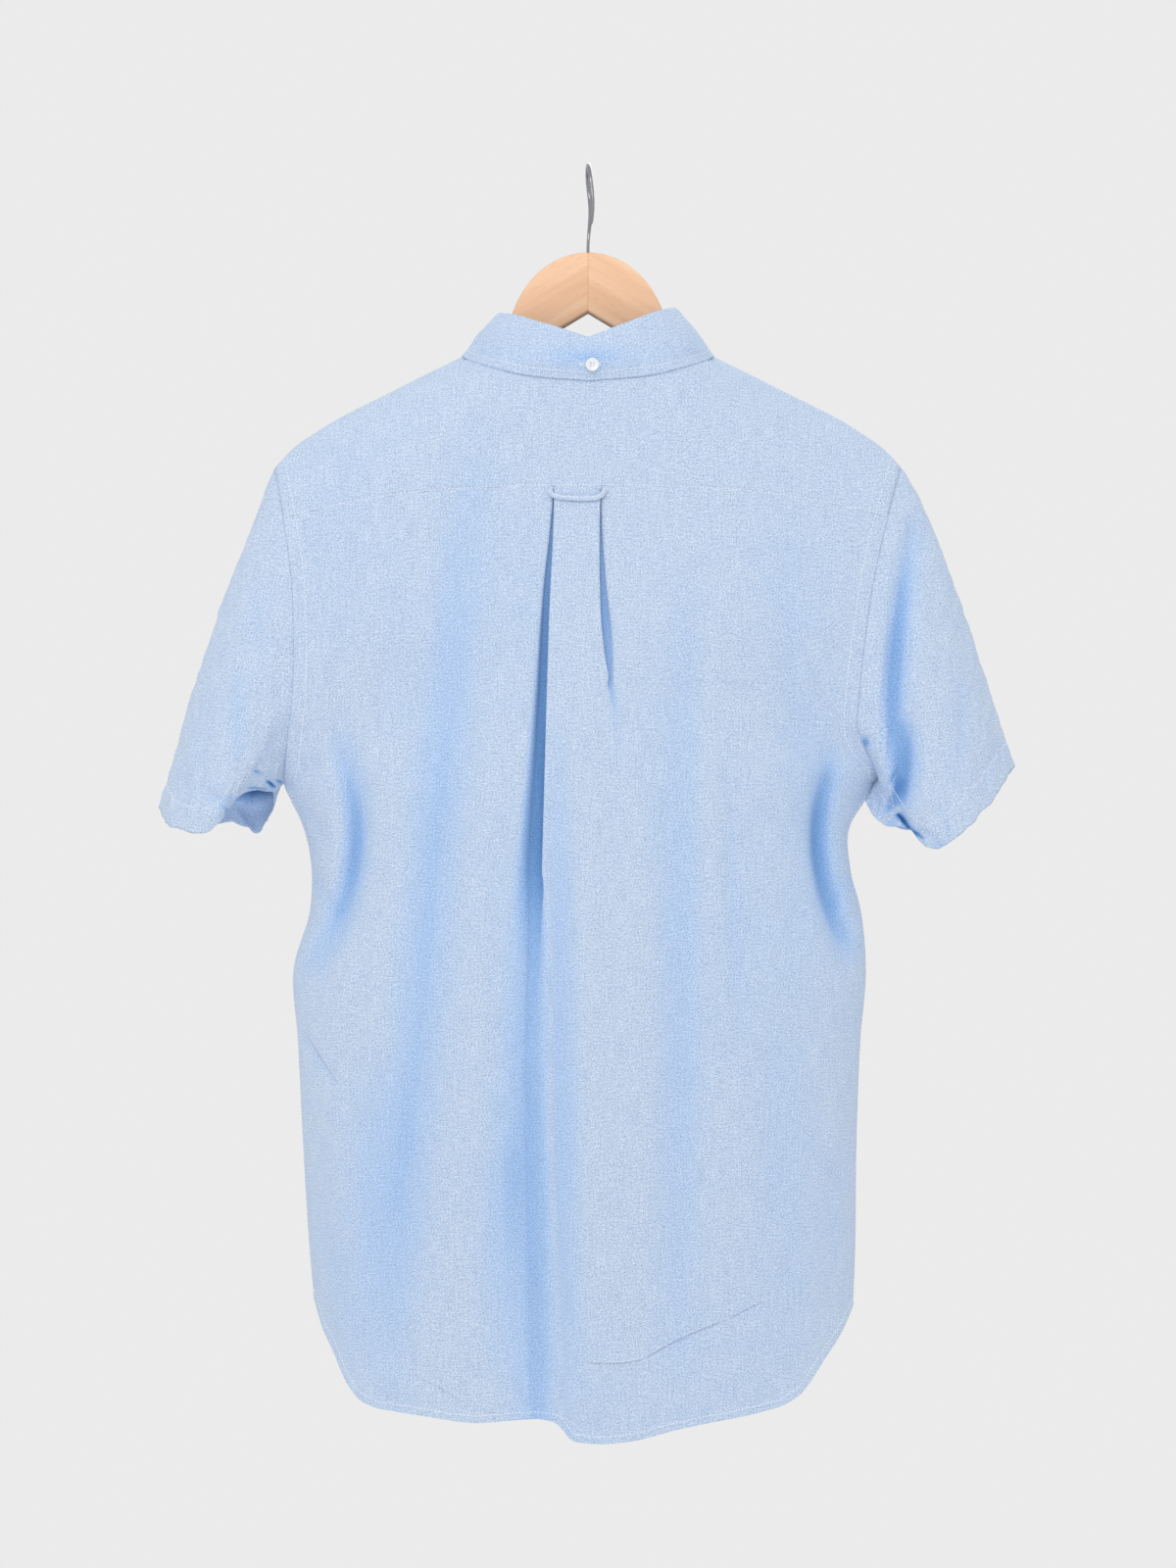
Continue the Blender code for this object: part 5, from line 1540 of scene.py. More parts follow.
@dataclass
class Yoke:
    """The yoke over both shoulders, from the front seams and the neck to the seam across the back."""

    shirt: Shirt
    rows: int = 72
    ring_columns: int = 108
    seam_columns: int = 56
    neck_share: float = 0.42
    edge_row: float = 1.6

    def sheet(self) -> Sheet:
        """The yoke's cloth.

        Returns:
            The sheet.
        """
        rows = self.rows
        left, right = FORM.armhole_edge(Side.LEFT, rows), FORM.armhole_edge(Side.RIGHT, rows)
        ring_x, ring_z, ring_face = FORM.neck_ring(FORM.ring_angles(YOKE_TURN, -YOKE_TURN, self.ring_columns))
        ring_root = ring_face * np.sqrt(np.maximum(FORM.shoulder(ring_x) - ring_z, 0))
        seams = []
        for side, end in ((Side.LEFT, left), (Side.RIGHT, right)):
            x = np.linspace(end[0][0], side.value * ring_x[0], self.seam_columns + 1)[:-1]
            seams.append((x, -np.sqrt(FORM.shoulder(x) - FORM.front_yoke_line(x))))
        upper = (
            np.concatenate([seams[0][0], ring_x, seams[1][0][::-1]]),
            np.concatenate([seams[0][1], ring_root, seams[1][1][::-1]]),
        )
        outer = np.linspace(1, self.neck_share, self.seam_columns + 1)[:-1]
        inner = np.linspace(self.neck_share, -self.neck_share, self.ring_columns + 1)
        place = np.concatenate([outer, inner, -outer[::-1]])
        lower_x = np.where(place > 0, place * left[0][-1], -place * right[0][-1])
        lower = (lower_x, np.sqrt(FORM.shoulder(lower_x) - FORM.yoke_line(lower_x)))
        u, v = np.meshgrid(np.linspace(0, 1, len(place)), np.linspace(0, 1, rows + 1), indexing="ij")
        spread = []
        for k in range(2):
            across = (1 - v) * upper[k][:, None] + v * lower[k][:, None]
            along = (1 - u) * left[k][None, :] + u * right[k][None, :]
            corners = (1 - u) * ((1 - v) * upper[k][0] + v * lower[k][0])
            corners = corners + u * ((1 - v) * upper[k][-1] + v * lower[k][-1])
            spread.append(across + along - corners)
        x, root = spread
        z = FORM.shoulder(x) - root**2
        points = FORM.over_shoulder(x, root)
        # Painted shade from the folds of the back and of the front.
        behind = FORM.relief(x, z, Face.BACK) / SHADE_TONE_DEPTH
        before = FORM.relief(x, z, Face.FRONT) / FRONT_SHADE_TONE_DEPTH
        out = np.stack([0 * x, points[..., 1], 0 * x + 15], axis=-1)
        threads = (Edge.LAST_ROW, np.array([1.0, 0, 0]))
        return self.finished(Sheet(points, out, tone=np.where(root >= 0, behind, before), threads=threads))

    def finished(self, made: Sheet) -> Sheet:
        """The yoke with the thickness of its turned edges and the pull of its seams.

        Args:
            made: The plain sheet.

        Returns:
            The sheet as sewn.
        """
        first, last, high, low = made.reaches()
        number = np.arange(len(made.points))
        seamed = (number < self.seam_columns) | (number > number[-1] - self.seam_columns)
        lift = 0.12 * (1 - eased(3, 8, low)) + 0.12 * (1 - eased(3, 8, high))
        lift = lift - 0.62 * (1 - eased(0, 1.6, low)) - 0.62 * (1 - eased(0, 1.6, high)) * seamed[:, None]
        lift = lift + puckers(first, low, 41, 6.0, 0.3, 6.0) + puckers(first, high, 42, 6.0)
        for away, seed in ((first, 43), (last, 44)):
            lift = lift + puckers(high, np.abs(away - self.shirt.felled), seed)
        return made.pushed(lift)

    def build(self) -> None:
        """Makes the yoke and its stitches."""
        sheet = self.sheet()
        self.shirt.keep("shirt_yoke", sheet, "yoke")
        work = Needlework("yoke_stitches")
        work.follow(sheet, Edge.LAST_ROW, self.edge_row)
        for part in (slice(0, self.seam_columns), slice(-self.seam_columns, None)):
            work.follow(sheet, Edge.FIRST_ROW, self.edge_row, part)
        for edge in SIDES:
            work.follow(sheet, edge, self.shirt.felled, lift=self.shirt.sunk)
        self.shirt.sew(work)


@dataclass
class Front:
    """One front, from its centre edge to the side seam. The left one's edge lies on top."""

    shirt: Shirt
    side: Side
    ring_columns: int = 36
    seam_columns: int = 54
    above: int = 84
    below: int = 120
    turned: float = 34.0
    tucked: float = 3.0
    under: float = 0.7
    edge_row: float = 5.0

    def sheet(self) -> Sheet:
        """The front's cloth.

        Returns:
            The sheet.
        """
        sign, edge = self.side.value, -OVERLAP
        ring_x, ring_z, _ = FORM.neck_ring(FORM.ring_angles(END_ANGLE, YOKE_TURN, self.ring_columns))
        armhole = sign * FORM.armhole_edge(self.side, 9)[0][0]
        seam_x = np.linspace(ring_x[-1], armhole, self.seam_columns + 1)[1:]
        x_top = np.concatenate([ring_x, seam_x])
        z_top = np.concatenate([ring_z, FORM.front_yoke_line(seam_x)])
        first = (x_top - edge) / (FORM.half_width(sign, z_top) - edge)
        first[-1] = 1
        low = np.sin(np.linspace(0, np.pi / 2, len(x_top)))
        at_side = FORM.half_width(sign, SIDE_SEAM_HEM)
        x_hem = np.abs(edge + (at_side - edge) * low)
        hem = FRONT_HEM.at("z", x_hem * FRONT_HEM.columns["x"][0] / at_side)
        seam = np.arange(len(x_top)) > self.ring_columns
        z = rows_between(z_top + self.tucked * seam, hem, self.above, self.below)
        blend = eased(240, -ARMPIT, -z)
        x = edge + (FORM.half_width(sign, z) - edge) * (first[:, None] * (1 - blend) + low[:, None] * blend)
        lift = FORM.lap(x) if self.side is Side.LEFT else 0 * x
        lift = lift - self.under * seam[:, None] * (1 - eased(-2.4, 0.3, z_top[:, None] - z))
        points = FORM.on_body(sign * x, z, Face.FRONT, lift)
        # Painted shade in the front's folds.
        tone = FORM.relief(sign * x, z, Face.FRONT) / FRONT_SHADE_TONE_DEPTH
        return self.finished(Sheet(points, np.array([0, -1.0, 0]), tone=tone))

    def finished(self, made: Sheet) -> Sheet:
        """The front with the thickness of its hems and the pull of its seams.

        Args:
            made: The plain sheet.

        Returns:
            The sheet as sewn.
        """
        centre, side, high, low = made.reaches()
        lift = 0.3 * (1 - eased(self.shirt.hem - 0.8, self.shirt.hem + 0.8, low))
        lift = lift + puckers(centre, np.abs(low - self.shirt.hem), 51, 6.5)
        lift = lift + puckers(high, np.abs(side - self.shirt.felled), 52)
        if self.side is Side.LEFT:
            lift = lift + 0.25 * (1 - eased(self.turned - 1, self.turned + 1, centre))
        return made.pushed(lift * (1 - np.exp(-side / 3)))

    def build(self) -> None:
        """Makes the front and its stitches."""
        name = self.side.name.lower()
        sheet = self.sheet()
        self.shirt.keep(f"shirt_front_{name}", sheet, f"front_{name}")
        work = Needlework(f"front_{name}_stitches")
        work.follow(sheet, Edge.LAST_ROW, self.shirt.hem_row)
        work.follow(sheet, Edge.LAST_COLUMN, self.shirt.felled, slice(self.above - 4), lift=self.shirt.sunk)
        for inset in (self.edge_row, self.turned - 4) if self.side is Side.LEFT else (self.edge_row,):
            work.follow(sheet, Edge.FIRST_COLUMN, inset)
        self.shirt.sew(work)


@dataclass
class Sleeve:
    """A short sleeve, from its armhole to its turned cuff."""

    shirt: Shirt
    side: Side
    yoke_rows: int = 36
    above: int = 62
    rows: int = 96
    hem: float = 18.0
    ragged: float = 1.6
    belly: float = 5.0
    # Crease and pinch depths in millimetres that give a painted shade of -1.
    tone_depth: float = 12.4
    pinch_shade_depth: float = 2.6

    def closing_up(self) -> Floats:
        """Shares of the way down to the armpit, closing up towards it."""
        return np.sin(np.linspace(0, np.pi / 2, self.above + 1))

    def head(self) -> tuple[Floats, Floats]:
        """The armhole seam all round, from the front yoke seam over the shoulder, down the back and up again.

        Returns:
            Its points, and their turns, from 0 at the outer fold round the back to 1.
        """
        x, root = FORM.armhole_edge(self.side, self.yoke_rows)
        z = FORM.shoulder(x) - root**2
        over = FORM.over_shoulder(x, root)
        down, up = (start + (ARMPIT - start) * self.closing_up()[1:] for start in (z[-1], z[0]))
        sign = self.side.value
        behind = FORM.on_body(sign * FORM.half_width(sign, down), down, Face.BACK)
        before = FORM.on_body(sign * FORM.half_width(sign, up), up, Face.FRONT)
        loop = np.concatenate([over, behind, before[-2::-1]])
        pit = len(over) + len(down) - 1
        length = lengths(np.concatenate([loop, loop[:1]]))
        top = np.interp(0, root, length[: len(root)])
        s, whole = length[:-1], length[-1]
        past_top = np.where(s < top, s - top + whole, s - top)
        return loop, np.interp(past_top, [0, length[pit] - top, whole], [0, 0.5, 1])

    def sheet(self) -> Sheet:
        """The sleeve's cloth, closed under the arm.

        Returns:
            The sheet.
        """
        head, turn = self.head()
        left = self.side is Side.LEFT
        table, creases = (LEFT_CUFF, LEFT_SLEEVE_CREASES) if left else (RIGHT_CUFF, RIGHT_SLEEVE_CREASES)
        cuff = np.stack([table.at(name, turn) for name in ("x", "y", "z")], axis=-1)
        v = np.linspace(0, 1, self.rows + 1)[None, :]
        t = turn[:, None]
        grid = head[:, None] + (cuff - head)[:, None] * v[..., None]
        swell, face = np.sin(np.pi * v), np.sin(2 * np.pi * t)
        height, early = SLEEVE_SWELL[self.side]
        grid[..., 0] += self.side.value * height * np.sin(np.pi * v**early) * np.cos(np.pi * t) ** 2
        grid[..., 1] += self.belly * swell * face
        x, y, z = np.moveaxis(grid, -1, 0)
        side_share = np.clip(np.abs(y) / 6, 0, 1) ** 0.7 * eased(0, 0.05, v)
        pinched = valleys(x, z, PINCHES[self.side]) * (y >= 0) * side_share
        behind, before = (valleys(x, z, creases[f]) for f in (Face.BACK, Face.FRONT))
        push = np.where(y >= 0, behind, before) * side_share
        grid[..., 1] += np.where(y >= 0, 1, -1) * (push + pinched)
        # Painted shade: darker in the sleeve's creases, and much darker in its pinches.
        tone = push / self.tone_depth + pinched / self.pinch_shade_depth
        grid = np.concatenate([grid, grid[:1]])
        tone = np.concatenate([tone, tone[:1]])
        out = grid - grid[:-1].mean(axis=0, keepdims=True)
        down = unit(cuff[0] + cuff[len(cuff) // 2] - 2 * head[0])
        threads = (Edge.FIRST_COLUMN, down)
        return self.finished(Sheet(grid, out, True, tone, threads), np.append(turn, turn[0]))

    def finished(self, made: Sheet, turn: Floats) -> Sheet:
        """The sleeve with its crumples, the step of its turned hem and the pull of its seams.

        Args:
            made: The plain sheet.
            turn: Each column's turn round the sleeve.

        Returns:
            The sheet as sewn.
        """
        _, _, away, low = made.reaches()
        loop = 2 * np.pi * turn[:, None]
        ring_x, ring_y = np.cos(loop) * 4, np.sin(loop) * 4
        seed = 60 if self.side is Side.LEFT else 80
        crumple = 0.0
        for height, size, lean, twist, number in CRUMPLES:
            crumple = crumple + height * lumps(away / size + ring_x * lean, ring_y * twist + 9, seed + number)
        lift = crumple * (1 - np.exp(-away / 12))
        lift = lift + 0.35 * (1 - eased(self.hem - 0.8, self.hem + 0.8, low))
        near_hem = np.exp(-np.abs(low - self.hem) / 9)
        lift = lift + 0.18 * lumps(ring_x * 1.9 + 11, ring_y * 1.9 + 11, seed + 2) * near_hem
        lift = lift - 0.2 * np.exp(-((away / 1.6) ** 2))
        ragged = self.ragged * lumps(ring_x * 1.7 + 5, ring_y * 1.7 + 5, seed + 4) * (1 - eased(0, 30, low))
        downwards = unit(np.gradient(made.points, axis=1))
        made.points = made.points + downwards * ragged[..., None]
        return made.pushed(lift)

    def build(self) -> None:
        """Makes the sleeve and its stitches."""
        name = self.side.name.lower()
        sheet = self.sheet()
        self.shirt.keep(f"shirt_sleeve_{name}", sheet, f"sleeve_{name}")
        work = Needlework(f"sleeve_{name}_stitches")
        work.follow(sheet, Edge.LAST_ROW, self.hem)
        self.shirt.sew(work)


@dataclass
class Collar:
    """The collar stand and the leaf turned down over it."""

    shirt: Shirt
    spans: int = 12
    rest: float = 0.95
    drawn: float = 0.96
    roll: float = 14.0
    hem: float = 6.0

    def fold_point(self, angle: Floats) -> tuple[Floats, Floats]:
        """The collar's fold, and the level direction straight out from it.

        Args:
            angle: Degrees from the back of the neck.

        Returns:
            Points and directions.
        """
        a = np.radians(angle)
        short = 1 - np.abs(np.sin(a))
        behind = np.cos(a) >= 0
        depth = np.where(behind, FOLD_BACK, FOLD_FRONT)
        low = np.where(behind, FOLD_BACK_Z, FOLD_FRONT_Z)
        power = np.where(behind, 1.0, 0.95)
        z = FOLD_SIDE_Z + (low - FOLD_SIDE_Z) * short**power
        z = z - FOLD_SAG * np.maximum(np.cos(a), 0) ** 4
        z = z - FOLD_TILT * (1 + np.sin(a)) * eased(-0.5, 0.3, np.cos(a))
        point = np.stack([FOLD_HALF * np.sin(a), depth * np.cos(a), z], axis=-1)
        return point, unit(np.stack([np.sin(a) / FOLD_HALF, np.cos(a) / depth, 0 * a], axis=-1))

    def stand(self) -> Sheet:
        """The stand, from its end on the wearer's right, round the back, to its end on the left.

        Returns:
            The sheet.
        """
        angles = np.linspace(-END_ANGLE, END_ANGLE, 30 * self.spans + 1)
        low = FORM.ring_point(angles)
        high, out = self.fold_point(angles)
        lap = FORM.lap(low[:, 0]) * eased(90, 110, angles)
        v = np.linspace(0, 1, 16)[None, :, None]
        points = low[:, None] + (high - low)[:, None] * v + 1.2 * np.sin(np.pi * v) * out[:, None]
        points[..., 1] -= lap[:, None]
        points[:, -1, 2] -= 0.4
        return Sheet(points, points * (1, 1, 0))

    def leaf(self) -> Sheet:
        """The leaf, from its point on the wearer's right, round the back, to its point on the left.

        Returns:
            The sheet.
        """
        angles = np.linspace(-LEAF_END, LEAF_END, 30 * self.spans + 1)
        fold, out = self.fold_point(angles)
        turn = np.abs(angles)
        columns = {name: LEAF_EDGE.at(name, turn) for name in ("x", "depth", "z")}
        edge = np.stack([np.sign(angles) * columns["x"], columns["depth"], columns["z"]], axis=-1)
        up = np.array([0, 0, 1.0])
        start = fold + (LIFT * eased(140, 156, turn))[:, None] * out + 1.3 * up
        falling = unit(edge - start)
        brow = start + 2.0 * out + 0.3 * up
        cheek = brow + 0.9 * out + 4.2 * falling
        rows = [start, brow, cheek]
        for v in (0.4, 0.7, 1.0):
            rows.append(cheek + (edge - cheek) * v + LEAF_ROLL * math.sin(math.pi * v) * out * (1 - v))
        across = finer(rows, [5, 6, 9, 8, 9])
        points = smooth(np.arange(len(rows)), rows, across).swapaxes(0, 1)
        made = Sheet(points, points * (1, 1, 0))
        first, _, _, low = made.reaches()
        behind = eased(-0.1, 0.35, np.cos(np.radians(angles)))[:, None]
        lift = 0.3 * (1 - eased(5, 7, low)) + puckers(first, np.abs(low - 6), 71, 5.5, 0.2, 4)
        lift = lift + 0.35 * lumps(first / 16, low / 11, 72) * eased(2, 9, low)
        dip = np.exp(-(((first - first[-1:] / 2) / 26) ** 2)) * np.exp(-(((low - 17) / 7) ** 2))
        lift = lift - 0.9 * dip
        # Painted shade: the whole leaf a little darker, more in its dip at the back and in a band about 15 mm
        # above its lower edge.
        made.tone = -0.05 - 0.35 * dip - 0.08 * np.exp(-(((low - 15) / 8) ** 2))
        made = made.pushed(lift - 0.25 * np.exp(-(((low - 6) / 0.9) ** 2)))
        x, y, z = np.moveaxis(made.points, -1, 0)
        cloth = FORM.depth(x, z, Face.BACK) + FORM.relief(x, z, Face.BACK)
        spare = np.maximum(y - cloth - self.rest, 0) * eased(1, 7, FORM.shoulder(x) - z)
        made.points[..., 1] -= spare * self.drawn * (1 - eased(0, self.roll, low)) * behind
        return made

    def build(self) -> None:
        """Makes the stand, the leaf and their stitches."""
        stand, leaf = self.stand(), self.leaf()
        self.shirt.keep("shirt_collar_stand", stand, "collar_stand", thickness=0.9)
        self.shirt.keep("shirt_collar_leaf", leaf, "collar_leaf", thickness=0.8)
        work = Needlework("collar_stitches")
        work.follow(leaf, Edge.LAST_ROW, self.hem, lift=0.6)
        for edge in SIDES:
            work.follow(leaf, edge, self.hem, slice(6, -5), lift=0.6)
        work.follow(stand, Edge.FIRST_ROW, 1.6, lift=0.55)
        self.shirt.sew(work)


@dataclass
class LockerLoop:
    """The narrow band sewn into the yoke seam over the box pleat."""

    shirt: Shirt
    tall: float = 3.4
    thick: float = 1.1

    def build(self) -> None:
        """Makes the loop as a flattened, folded band."""
        at = np.linspace(0, 8, 65)
        x, z, lift = (LOCKER_LOOP.at(name, at) for name in ("x", "z", "lift"))
        path = FORM.on_body(x, z, Face.BACK)
        path[:, 1] += lift
        side = np.broadcast_to(np.array([0, 1.0, 0]), path.shape)
        around = wrapped(sweep(path, self.thick / 2, self.tall / 2, side, 20))
        band = Sheet(around, around - path[None], closed=True)
        self.shirt.keep("shirt_locker_loop", band, "locker_loop", thickness=0.3)
        work = Needlework("loop_stitches")
        work.row(path + np.array([0, self.thick / 2, 0.9]), side, lift=0.05, pitch=2.6, length=2.0)
        self.shirt.sew(work)


@dataclass
class Buttons:
    """The shirt's buttons, each where its solid is."""

    shirt: Shirt
    profile: tuple[tuple[float, float], ...] = (
        (0.02, -0.85), (3.5, -0.9), (4.5, -0.55), (4.9, 0.0), (4.7, 0.55), (4.35, 0.8), (3.9, 0.78),
        (3.4, 0.55), (0.02, 0.48),
    )
    hole: float = 0.6
    spread: float = 1.35
    slit: float = 13.5
    slit_offset: float = 1.6
    slit_pitch: float = 0.55
    thread_lift: float = 0.58
    thread_apart: float = 0.2

    def placed(self, name: str) -> Matrix:
        """Where a button's solid lies.

        Args:
            name: The button's node.

        Returns:
            A frame at its middle whose Z looks out of its face.
        """
        vertices = np.array([v.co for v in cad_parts[name].data.vertices])
        low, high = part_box(name)
        middle = (np.array(low) + np.array(high)) / 2
        facing = np.linalg.eigh(np.cov((vertices - vertices.mean(axis=0)).T))[1][:, 0]
        facing = Vector(facing * np.sign(np.dot(facing, middle * (1, 1, 0))))
        across = Vector((0, 0, 1)).cross(facing).normalized()
        turned = Matrix((across, facing.cross(across), facing)).transposed().to_4x4()
        turned.translation = Vector(middle)
        return turned

    def make(self, name: str) -> None:
        """One button, turned and drilled.

        Args:
            name: The button's node.
        """
        body, drill = bpy.data.meshes.new(name + "_turned"), bpy.data.meshes.new(name + "_drill")
        with edited(body) as form:
            points = [form.verts.new((x, 0, z)) for x, z in self.profile]
            edges = [form.edges.new(pair) for pair in zip(points, points[1:])]
            bmesh.ops.spin(
                form, geom=points + edges, cent=(0, 0, 0), axis=(0, 0, 1), angle=2 * math.pi, steps=36,
                use_merge=True,
            )
            bmesh.ops.remove_doubles(form, verts=form.verts[:], dist=0.05)
            bmesh.ops.recalc_face_normals(form, faces=form.faces[:])
        at = self.spread * math.sqrt(0.5)
        with edited(drill) as form:
            for x, y in ((1, 1), (-1, 1), (-1, -1), (1, -1)):
                bmesh.ops.create_cone(
                    form, cap_ends=True, segments=12, radius1=self.hole, radius2=self.hole, depth=6,
                    matrix=Matrix.Translation((x * at, y * at, 0)),
                )
        whole, bit = linked("whole", body), linked("bit", drill)
        cut = whole.modifiers.new("holes", "BOOLEAN")
        cut.operation, cut.object, cut.solver = "DIFFERENCE", bit, "EXACT"
        bpy.context.view_layer.update()
        drilled = bpy.data.meshes.new_from_object(whole.evaluated_get(bpy.context.evaluated_depsgraph_get()))
        for thing in (whole, bit):
            bpy.data.objects.remove(thing)
        drilled.transform(self.placed(name) @ Matrix.Scale(MM, 4))
        drilled.name = "shirt_" + name
        piece = add_piece(drilled, drilled.name, self.shirt.resin, "button_white", name)
        smooth_by_angle(piece, 40)

    def build(self) -> None:
        """Makes every button."""
        work = Needlework("button_threads", radius=0.26)
        holes = Needlework("buttonholes", radius=0.24)
        for name in sorted(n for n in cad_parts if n.startswith("button")):
            self.make(name)
            turned = self.placed(name)
            across, up, out = (np.array(turned.col[k][:3]) for k in range(3))
            middle = np.array(turned.translation) / MM
            for sign in (1, -1):
                for step in (-self.thread_apart, self.thread_apart):
                    rise = sign * self.spread * math.sqrt(0.5) + step
                    at = middle + out * self.thread_lift + up * rise
                    work.stitch(at, across, out, 2.2)
            self.buttonhole(holes, name, middle, across, up)
        self.shirt.sew(work)
        self.shirt.sew(holes)

    def buttonhole(self, work: Needlework, name: str, middle: Floats, across: Floats, up: Floats) -> None:
        """Close stitches down both sides of a button's slit, and a bar across either end.

        Args:
            work: Where the stitches go.
            name: The button's node.
            middle: The button's middle.
            across: The level direction across its face.
            up: The direction up its face.
        """
        on_front = name.startswith("button_front")
        piece = "front_left" if on_front else "collar_stand" if name == "button_neck" else "collar_leaf"
        cloth = self.shirt.sheets["shirt_" + piece]
        along = up if on_front else across
        if name in ("button_collar_left", "button_collar_right"):
            along = unit(up * 0.8 + across * (0.6 if name.endswith("right") else -0.6))
        if name == "button_collar_back":
            along = along * np.sign(along[0])
        centre = middle + along * (0 if on_front else self.slit_offset)
        lift = 0.52 if piece != "front_left" else 0.4
        count = int(self.slit / self.slit_pitch)
        for step in (np.arange(count) + 0.5) / count - 0.5:
            place, normal = cloth.seated(centre + along * step * self.slit)
            side = unit(np.cross(normal, along))
            for sign in (1, -1):
                work.stitch(place + side * sign * 0.75 + normal * lift, side, normal, 1.1)
        for sign in (1, -1):
            for step in (0, 0.5):
                place, normal = cloth.seated(centre + along * sign * (self.slit / 2 + step))
                work.stitch(place + normal * lift, unit(np.cross(normal, along)), normal, 2.8)


# The hanger


@dataclass
class Hanger:
    """The flat wooden hanger in two halves glued at a mitre, and its wire hook.

    Runs are stretches of sections along an arm: from, to and how many. Hub is the level, rise and half width
    of the arch in its middle. Notch and belly are the levels, falls and lengths of its lower edge.
    """

    wood: bpy.types.Material
    wire: bpy.types.Material
    thickness: float = 12.0
    rounding: float = 3.6
    around: int = 40
    runs: tuple[tuple[float, float, int], ...] = ((0, 17.9, 15), (18, 18, 1), (18.5, 60, 46), (62, 205, 60))
    tip: float = 213.0
    tip_rounding: float = 8.0
    hub: tuple[float, float, float] = (-135.0, 72.0, 60.0)
    shoulder_from: float = 54.0
    under_cloth: float = 2.6
    notch: tuple[float, float, float] = (-107.6, 10.8, 18.0)
    belly: tuple[float, float, float] = (-118.4, 107.0, 195.0)
    radius: float = 1.5
    stem: float = 1.1
    neck: tuple[tuple[float, float], ...] = (
        (0, -62.75), (0, -57), (-0.3, -51), (-2.5, -45), (-6.5, -38.5), (-11, -32)
    )
    bend: float = 17.6
    bend_from: float = 212.0
    bend_turn: float = 216.0
    bend_points: int = 15
    free_end: tuple[tuple[float, float], ...] = ((17.9, -26), (17.6, -36), (17, -45))
    wire_rings: int = 150
    swivel: float = math.radians(3)
    bow: float = 2.4

    def section(self, x: float) -> tuple[float, float]:
        """The arm's section at a distance from its middle.

        Args:
            x: The distance.

        Returns:
            The heights of its top and its bottom.
        """
        level, rise, half = self.hub
        top = level + rise * math.sqrt(max(1 - (x / half) ** 2, 0))
        if x > self.shoulder_from:
            under = float(FORM.shoulder(x)) - self.under_cloth
            top = max(top, under) if x < half else under
        notch, drop, reach = self.notch
        if x < reach:
            return top, notch - drop * x / reach
        belly, fall, run = self.belly
        return top, belly - fall * (x - reach) / run

    def arm(self, side: Side) -> None:
        """One half of the wood, from the mitre to its tip.

        Args:
            side: Which half.
        """
        end = self.tip - self.tip_rounding * (1 - np.sin(np.linspace(0, np.pi / 2, 10)))
        stations = np.unique(np.concatenate([np.linspace(*run) for run in self.runs] + [end]))
        rings = []
        for x in stations:
            top, bottom = self.section(min(x, self.tip - 1))
            past = max((x - (self.tip - self.tip_rounding)) / self.tip_rounding, 0)
            shrink = math.sqrt(max(1 - past**2, 0.02))
            middle, half = (top + bottom) / 2, (top - bottom) / 2 * shrink
            thick = self.thickness / 2 * shrink
            radius = min(self.rounding, half * 0.95, thick * 0.95)
            turn = np.linspace(0, 2 * np.pi, self.around + 1)[:-1]
            cos, sin = np.cos(turn), np.sin(turn)
            y = np.sign(np.round(cos, 9)) * (thick - radius) + radius * cos
            z = middle + np.sign(np.round(sin, 9)) * (half - radius) + radius * sin
            rings.append(np.stack([np.full(self.around, side.value * x), y, z], axis=-1))
        name = f"hanger_wood_{side.name.lower()}"
        mesh = tube(name, np.array(rings))
        piece = add_piece(mesh, name, self.wood, "hanger_wood", f"hanger_arm_{side.name.lower()}")
        smooth_by_angle(piece, 35)

    def hook(self) -> None:
        """The wire, from the top of the wood, round the bend and down to its free end."""
        path = list(self.neck)
        for step in range(self.bend_points):
            a = math.radians(self.bend_from - self.bend_turn * step / (self.bend_points - 1))
            path.append((self.bend * math.cos(a), self.bend * math.sin(a) + self.radius - self.bend))
        path += self.free_end
        number = np.arange(self.wire_rings)
        at = np.linspace(0, len(path) - 1, self.wire_rings)
        y, z = smooth(np.arange(len(path)), np.array(path), at).T
        bowed = self.bow * np.sin(np.pi * np.clip((z + 60) / 63, 0, 1)) ** 2
        turned = np.stack([-y * math.sin(self.swivel) - bowed, y * math.cos(self.swivel), z], axis=-1)
        end = np.minimum(number, number[::-1])
        rounded = np.sqrt(np.clip(1 - (1 - end / 2.5).clip(0) ** 2, 0.05, 1))
        taper = np.where(number > self.wire_rings / 2, rounded, 1)
        side = np.broadcast_to(np.array([math.cos(self.swivel), math.sin(self.swivel), 0]), turned.shape)
        radius = taper * (self.stem + (self.radius - self.stem) * eased(-58, -34, np.where(at < 8, z, 0)))
        mesh = tube("hanger_wire", sweep(turned, radius, radius, side, 20))
        add_piece(mesh, "hanger_wire", self.wire, "hanger_wire", "hanger_hook")

    def build(self) -> None:
        """Makes both arms and the hook."""
        for side in Side:
            self.arm(side)
        self.hook()


# The studio


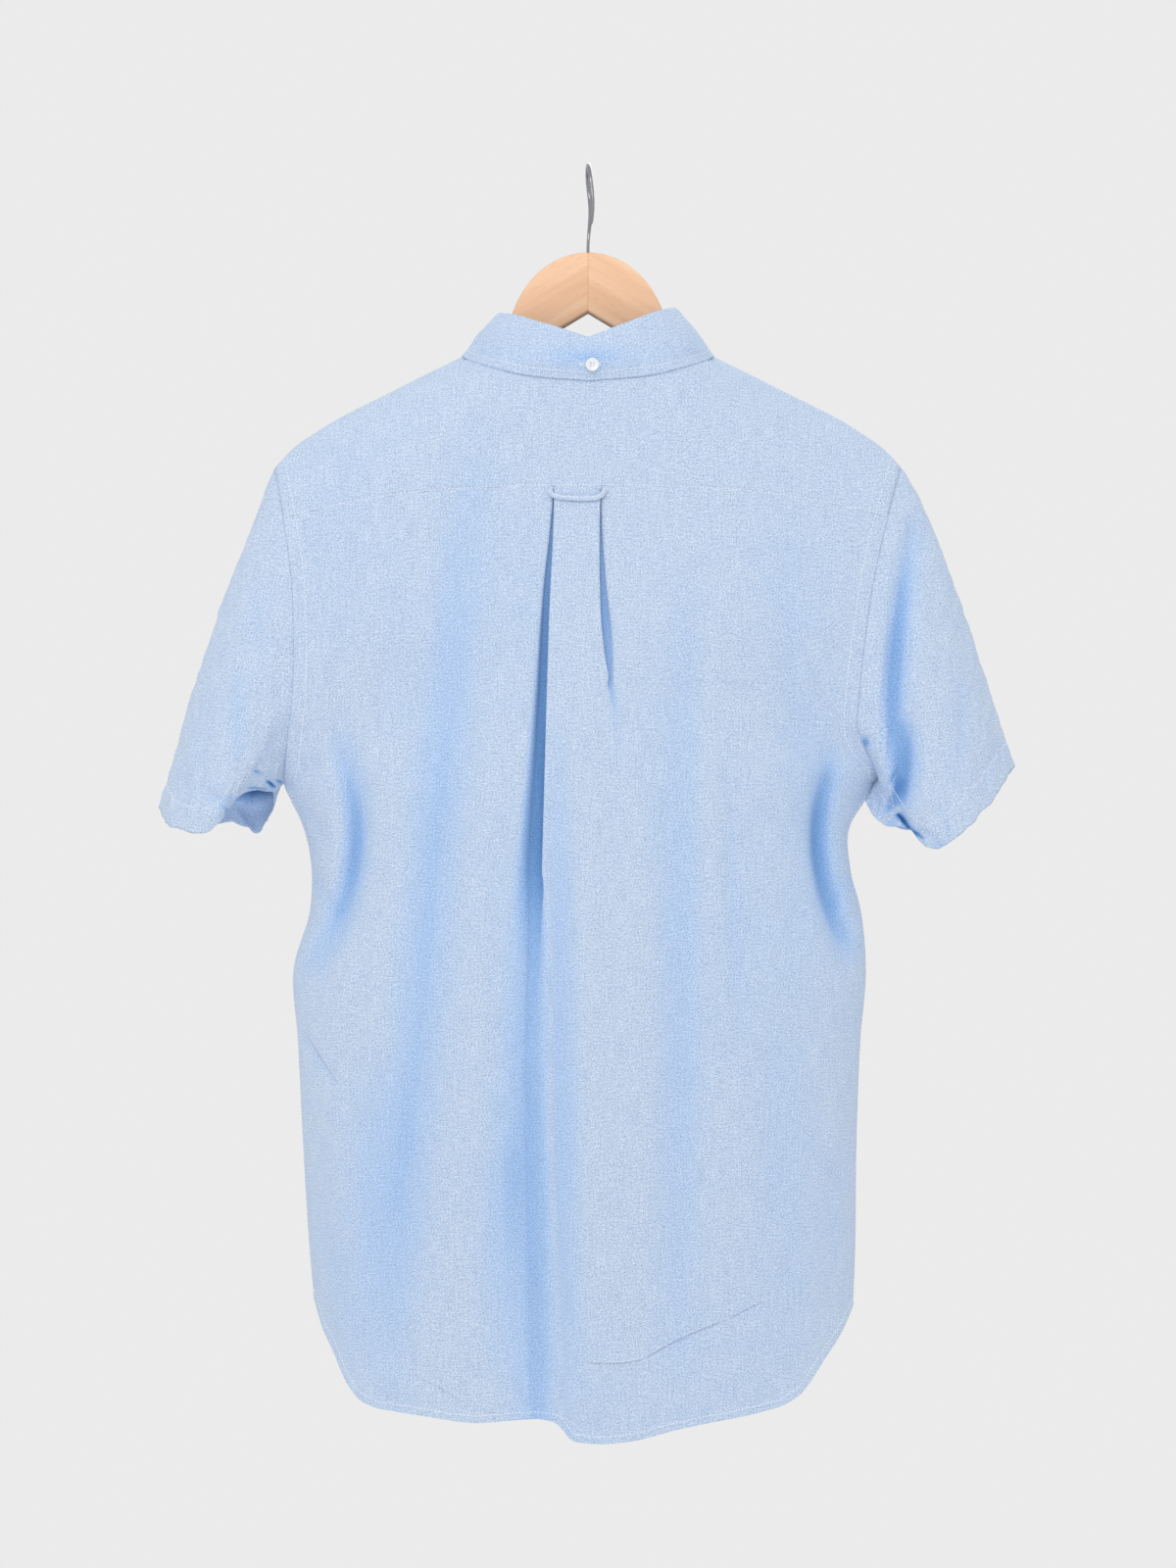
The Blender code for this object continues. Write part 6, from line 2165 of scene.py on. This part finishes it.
@dataclass
class Studio:
    """A pale floor, soft lights and the camera."""

    distance: float = 3.0
    height: float = -0.4532
    lens: float = 93.75
    sensor: float = 36.0
    floor: float = -1.6
    floor_radius: float = 1.5
    softbox: float = 1.6
    warmth: tuple[float, float, float] = (1.0, 0.99, 0.98)
    sky: Colour = (0.831, 0.831, 0.831, 1)

    def camera(self) -> None:
        """A level camera square to the back."""
        data = bpy.data.cameras.new("camera")
        data.lens, data.sensor_width, data.sensor_fit = self.lens, self.sensor, "AUTO"
        camera = linked("camera", data)
        camera.location = (0, self.distance, self.height)
        camera.rotation_euler = (math.pi / 2, 0, math.pi)
        bpy.context.scene.camera = camera

    def light(self, name: str, place: tuple[float, float, float], watts: float) -> None:
        """A square softbox that looks at the shirt's middle.

        Args:
            name: Its name.
            place: Where it stands.
            watts: Its power.
        """
        data = bpy.data.lights.new(name, "AREA")
        data.shape, data.size, data.energy, data.color = "SQUARE", self.softbox, watts, self.warmth
        lamp = linked(name, data)
        lamp.location = place
        facing = Vector((0, 0, self.height)) - Vector(place)
        lamp.rotation_euler = facing.to_track_quat("-Z", "Y").to_euler()

    def build(self) -> None:
        """Makes the floor, the sky, the lights and the camera."""
        mesh = bpy.data.meshes.new("floor")
        level = Matrix.Translation((0, 0, self.floor))
        with edited(mesh) as form:
            bmesh.ops.create_circle(form, cap_ends=True, segments=96, radius=self.floor_radius, matrix=level)
        mesh.materials.append(Painted().material("studio_floor"))
        floor = linked("floor", mesh)
        world = bpy.data.worlds.new("sky")
        world.use_nodes = True
        world.node_tree.nodes["Background"].inputs["Color"].default_value = self.sky
        bpy.context.scene.world = world
        self.light("key", (0.5, 2.7, 1.3), 25.8)
        self.light("behind", (-0.5, -2.7, 1.1), 26.5)
        bpy.context.scene.view_settings.view_transform = "Standard"
        self.camera()


def main() -> None:
    """Builds the shirt on its hanger in the studio."""
    logging.basicConfig(level=logging.INFO, format="%(name)s: %(message)s")
    shirt = Shirt(
        cloth=Oxford().material("oxford_cloth"),
        # The same oxford, paler and bluer, as painted light that stands for light coming through the cloth.
        inside=Oxford(warp=(0.36, 0.55, 0.90, 1), weft=(0.68, 0.81, 0.98, 1)).material("oxford_inside_painted_light"),
        thread=Thread().material("thread"),
        resin=Resin().material("resin"),
    )
    Studio().build()
    Back(shirt).build()
    Yoke(shirt).build()
    for side in Side:
        Front(shirt, side).build()
        Sleeve(shirt, side).build()
    Collar(shirt).build()
    LockerLoop(shirt).build()
    Buttons(shirt).build()
    Hanger(Beech().material("beech"), PlatedWire().material("plated_wire")).build()


if __name__ == "__main__":
    main()
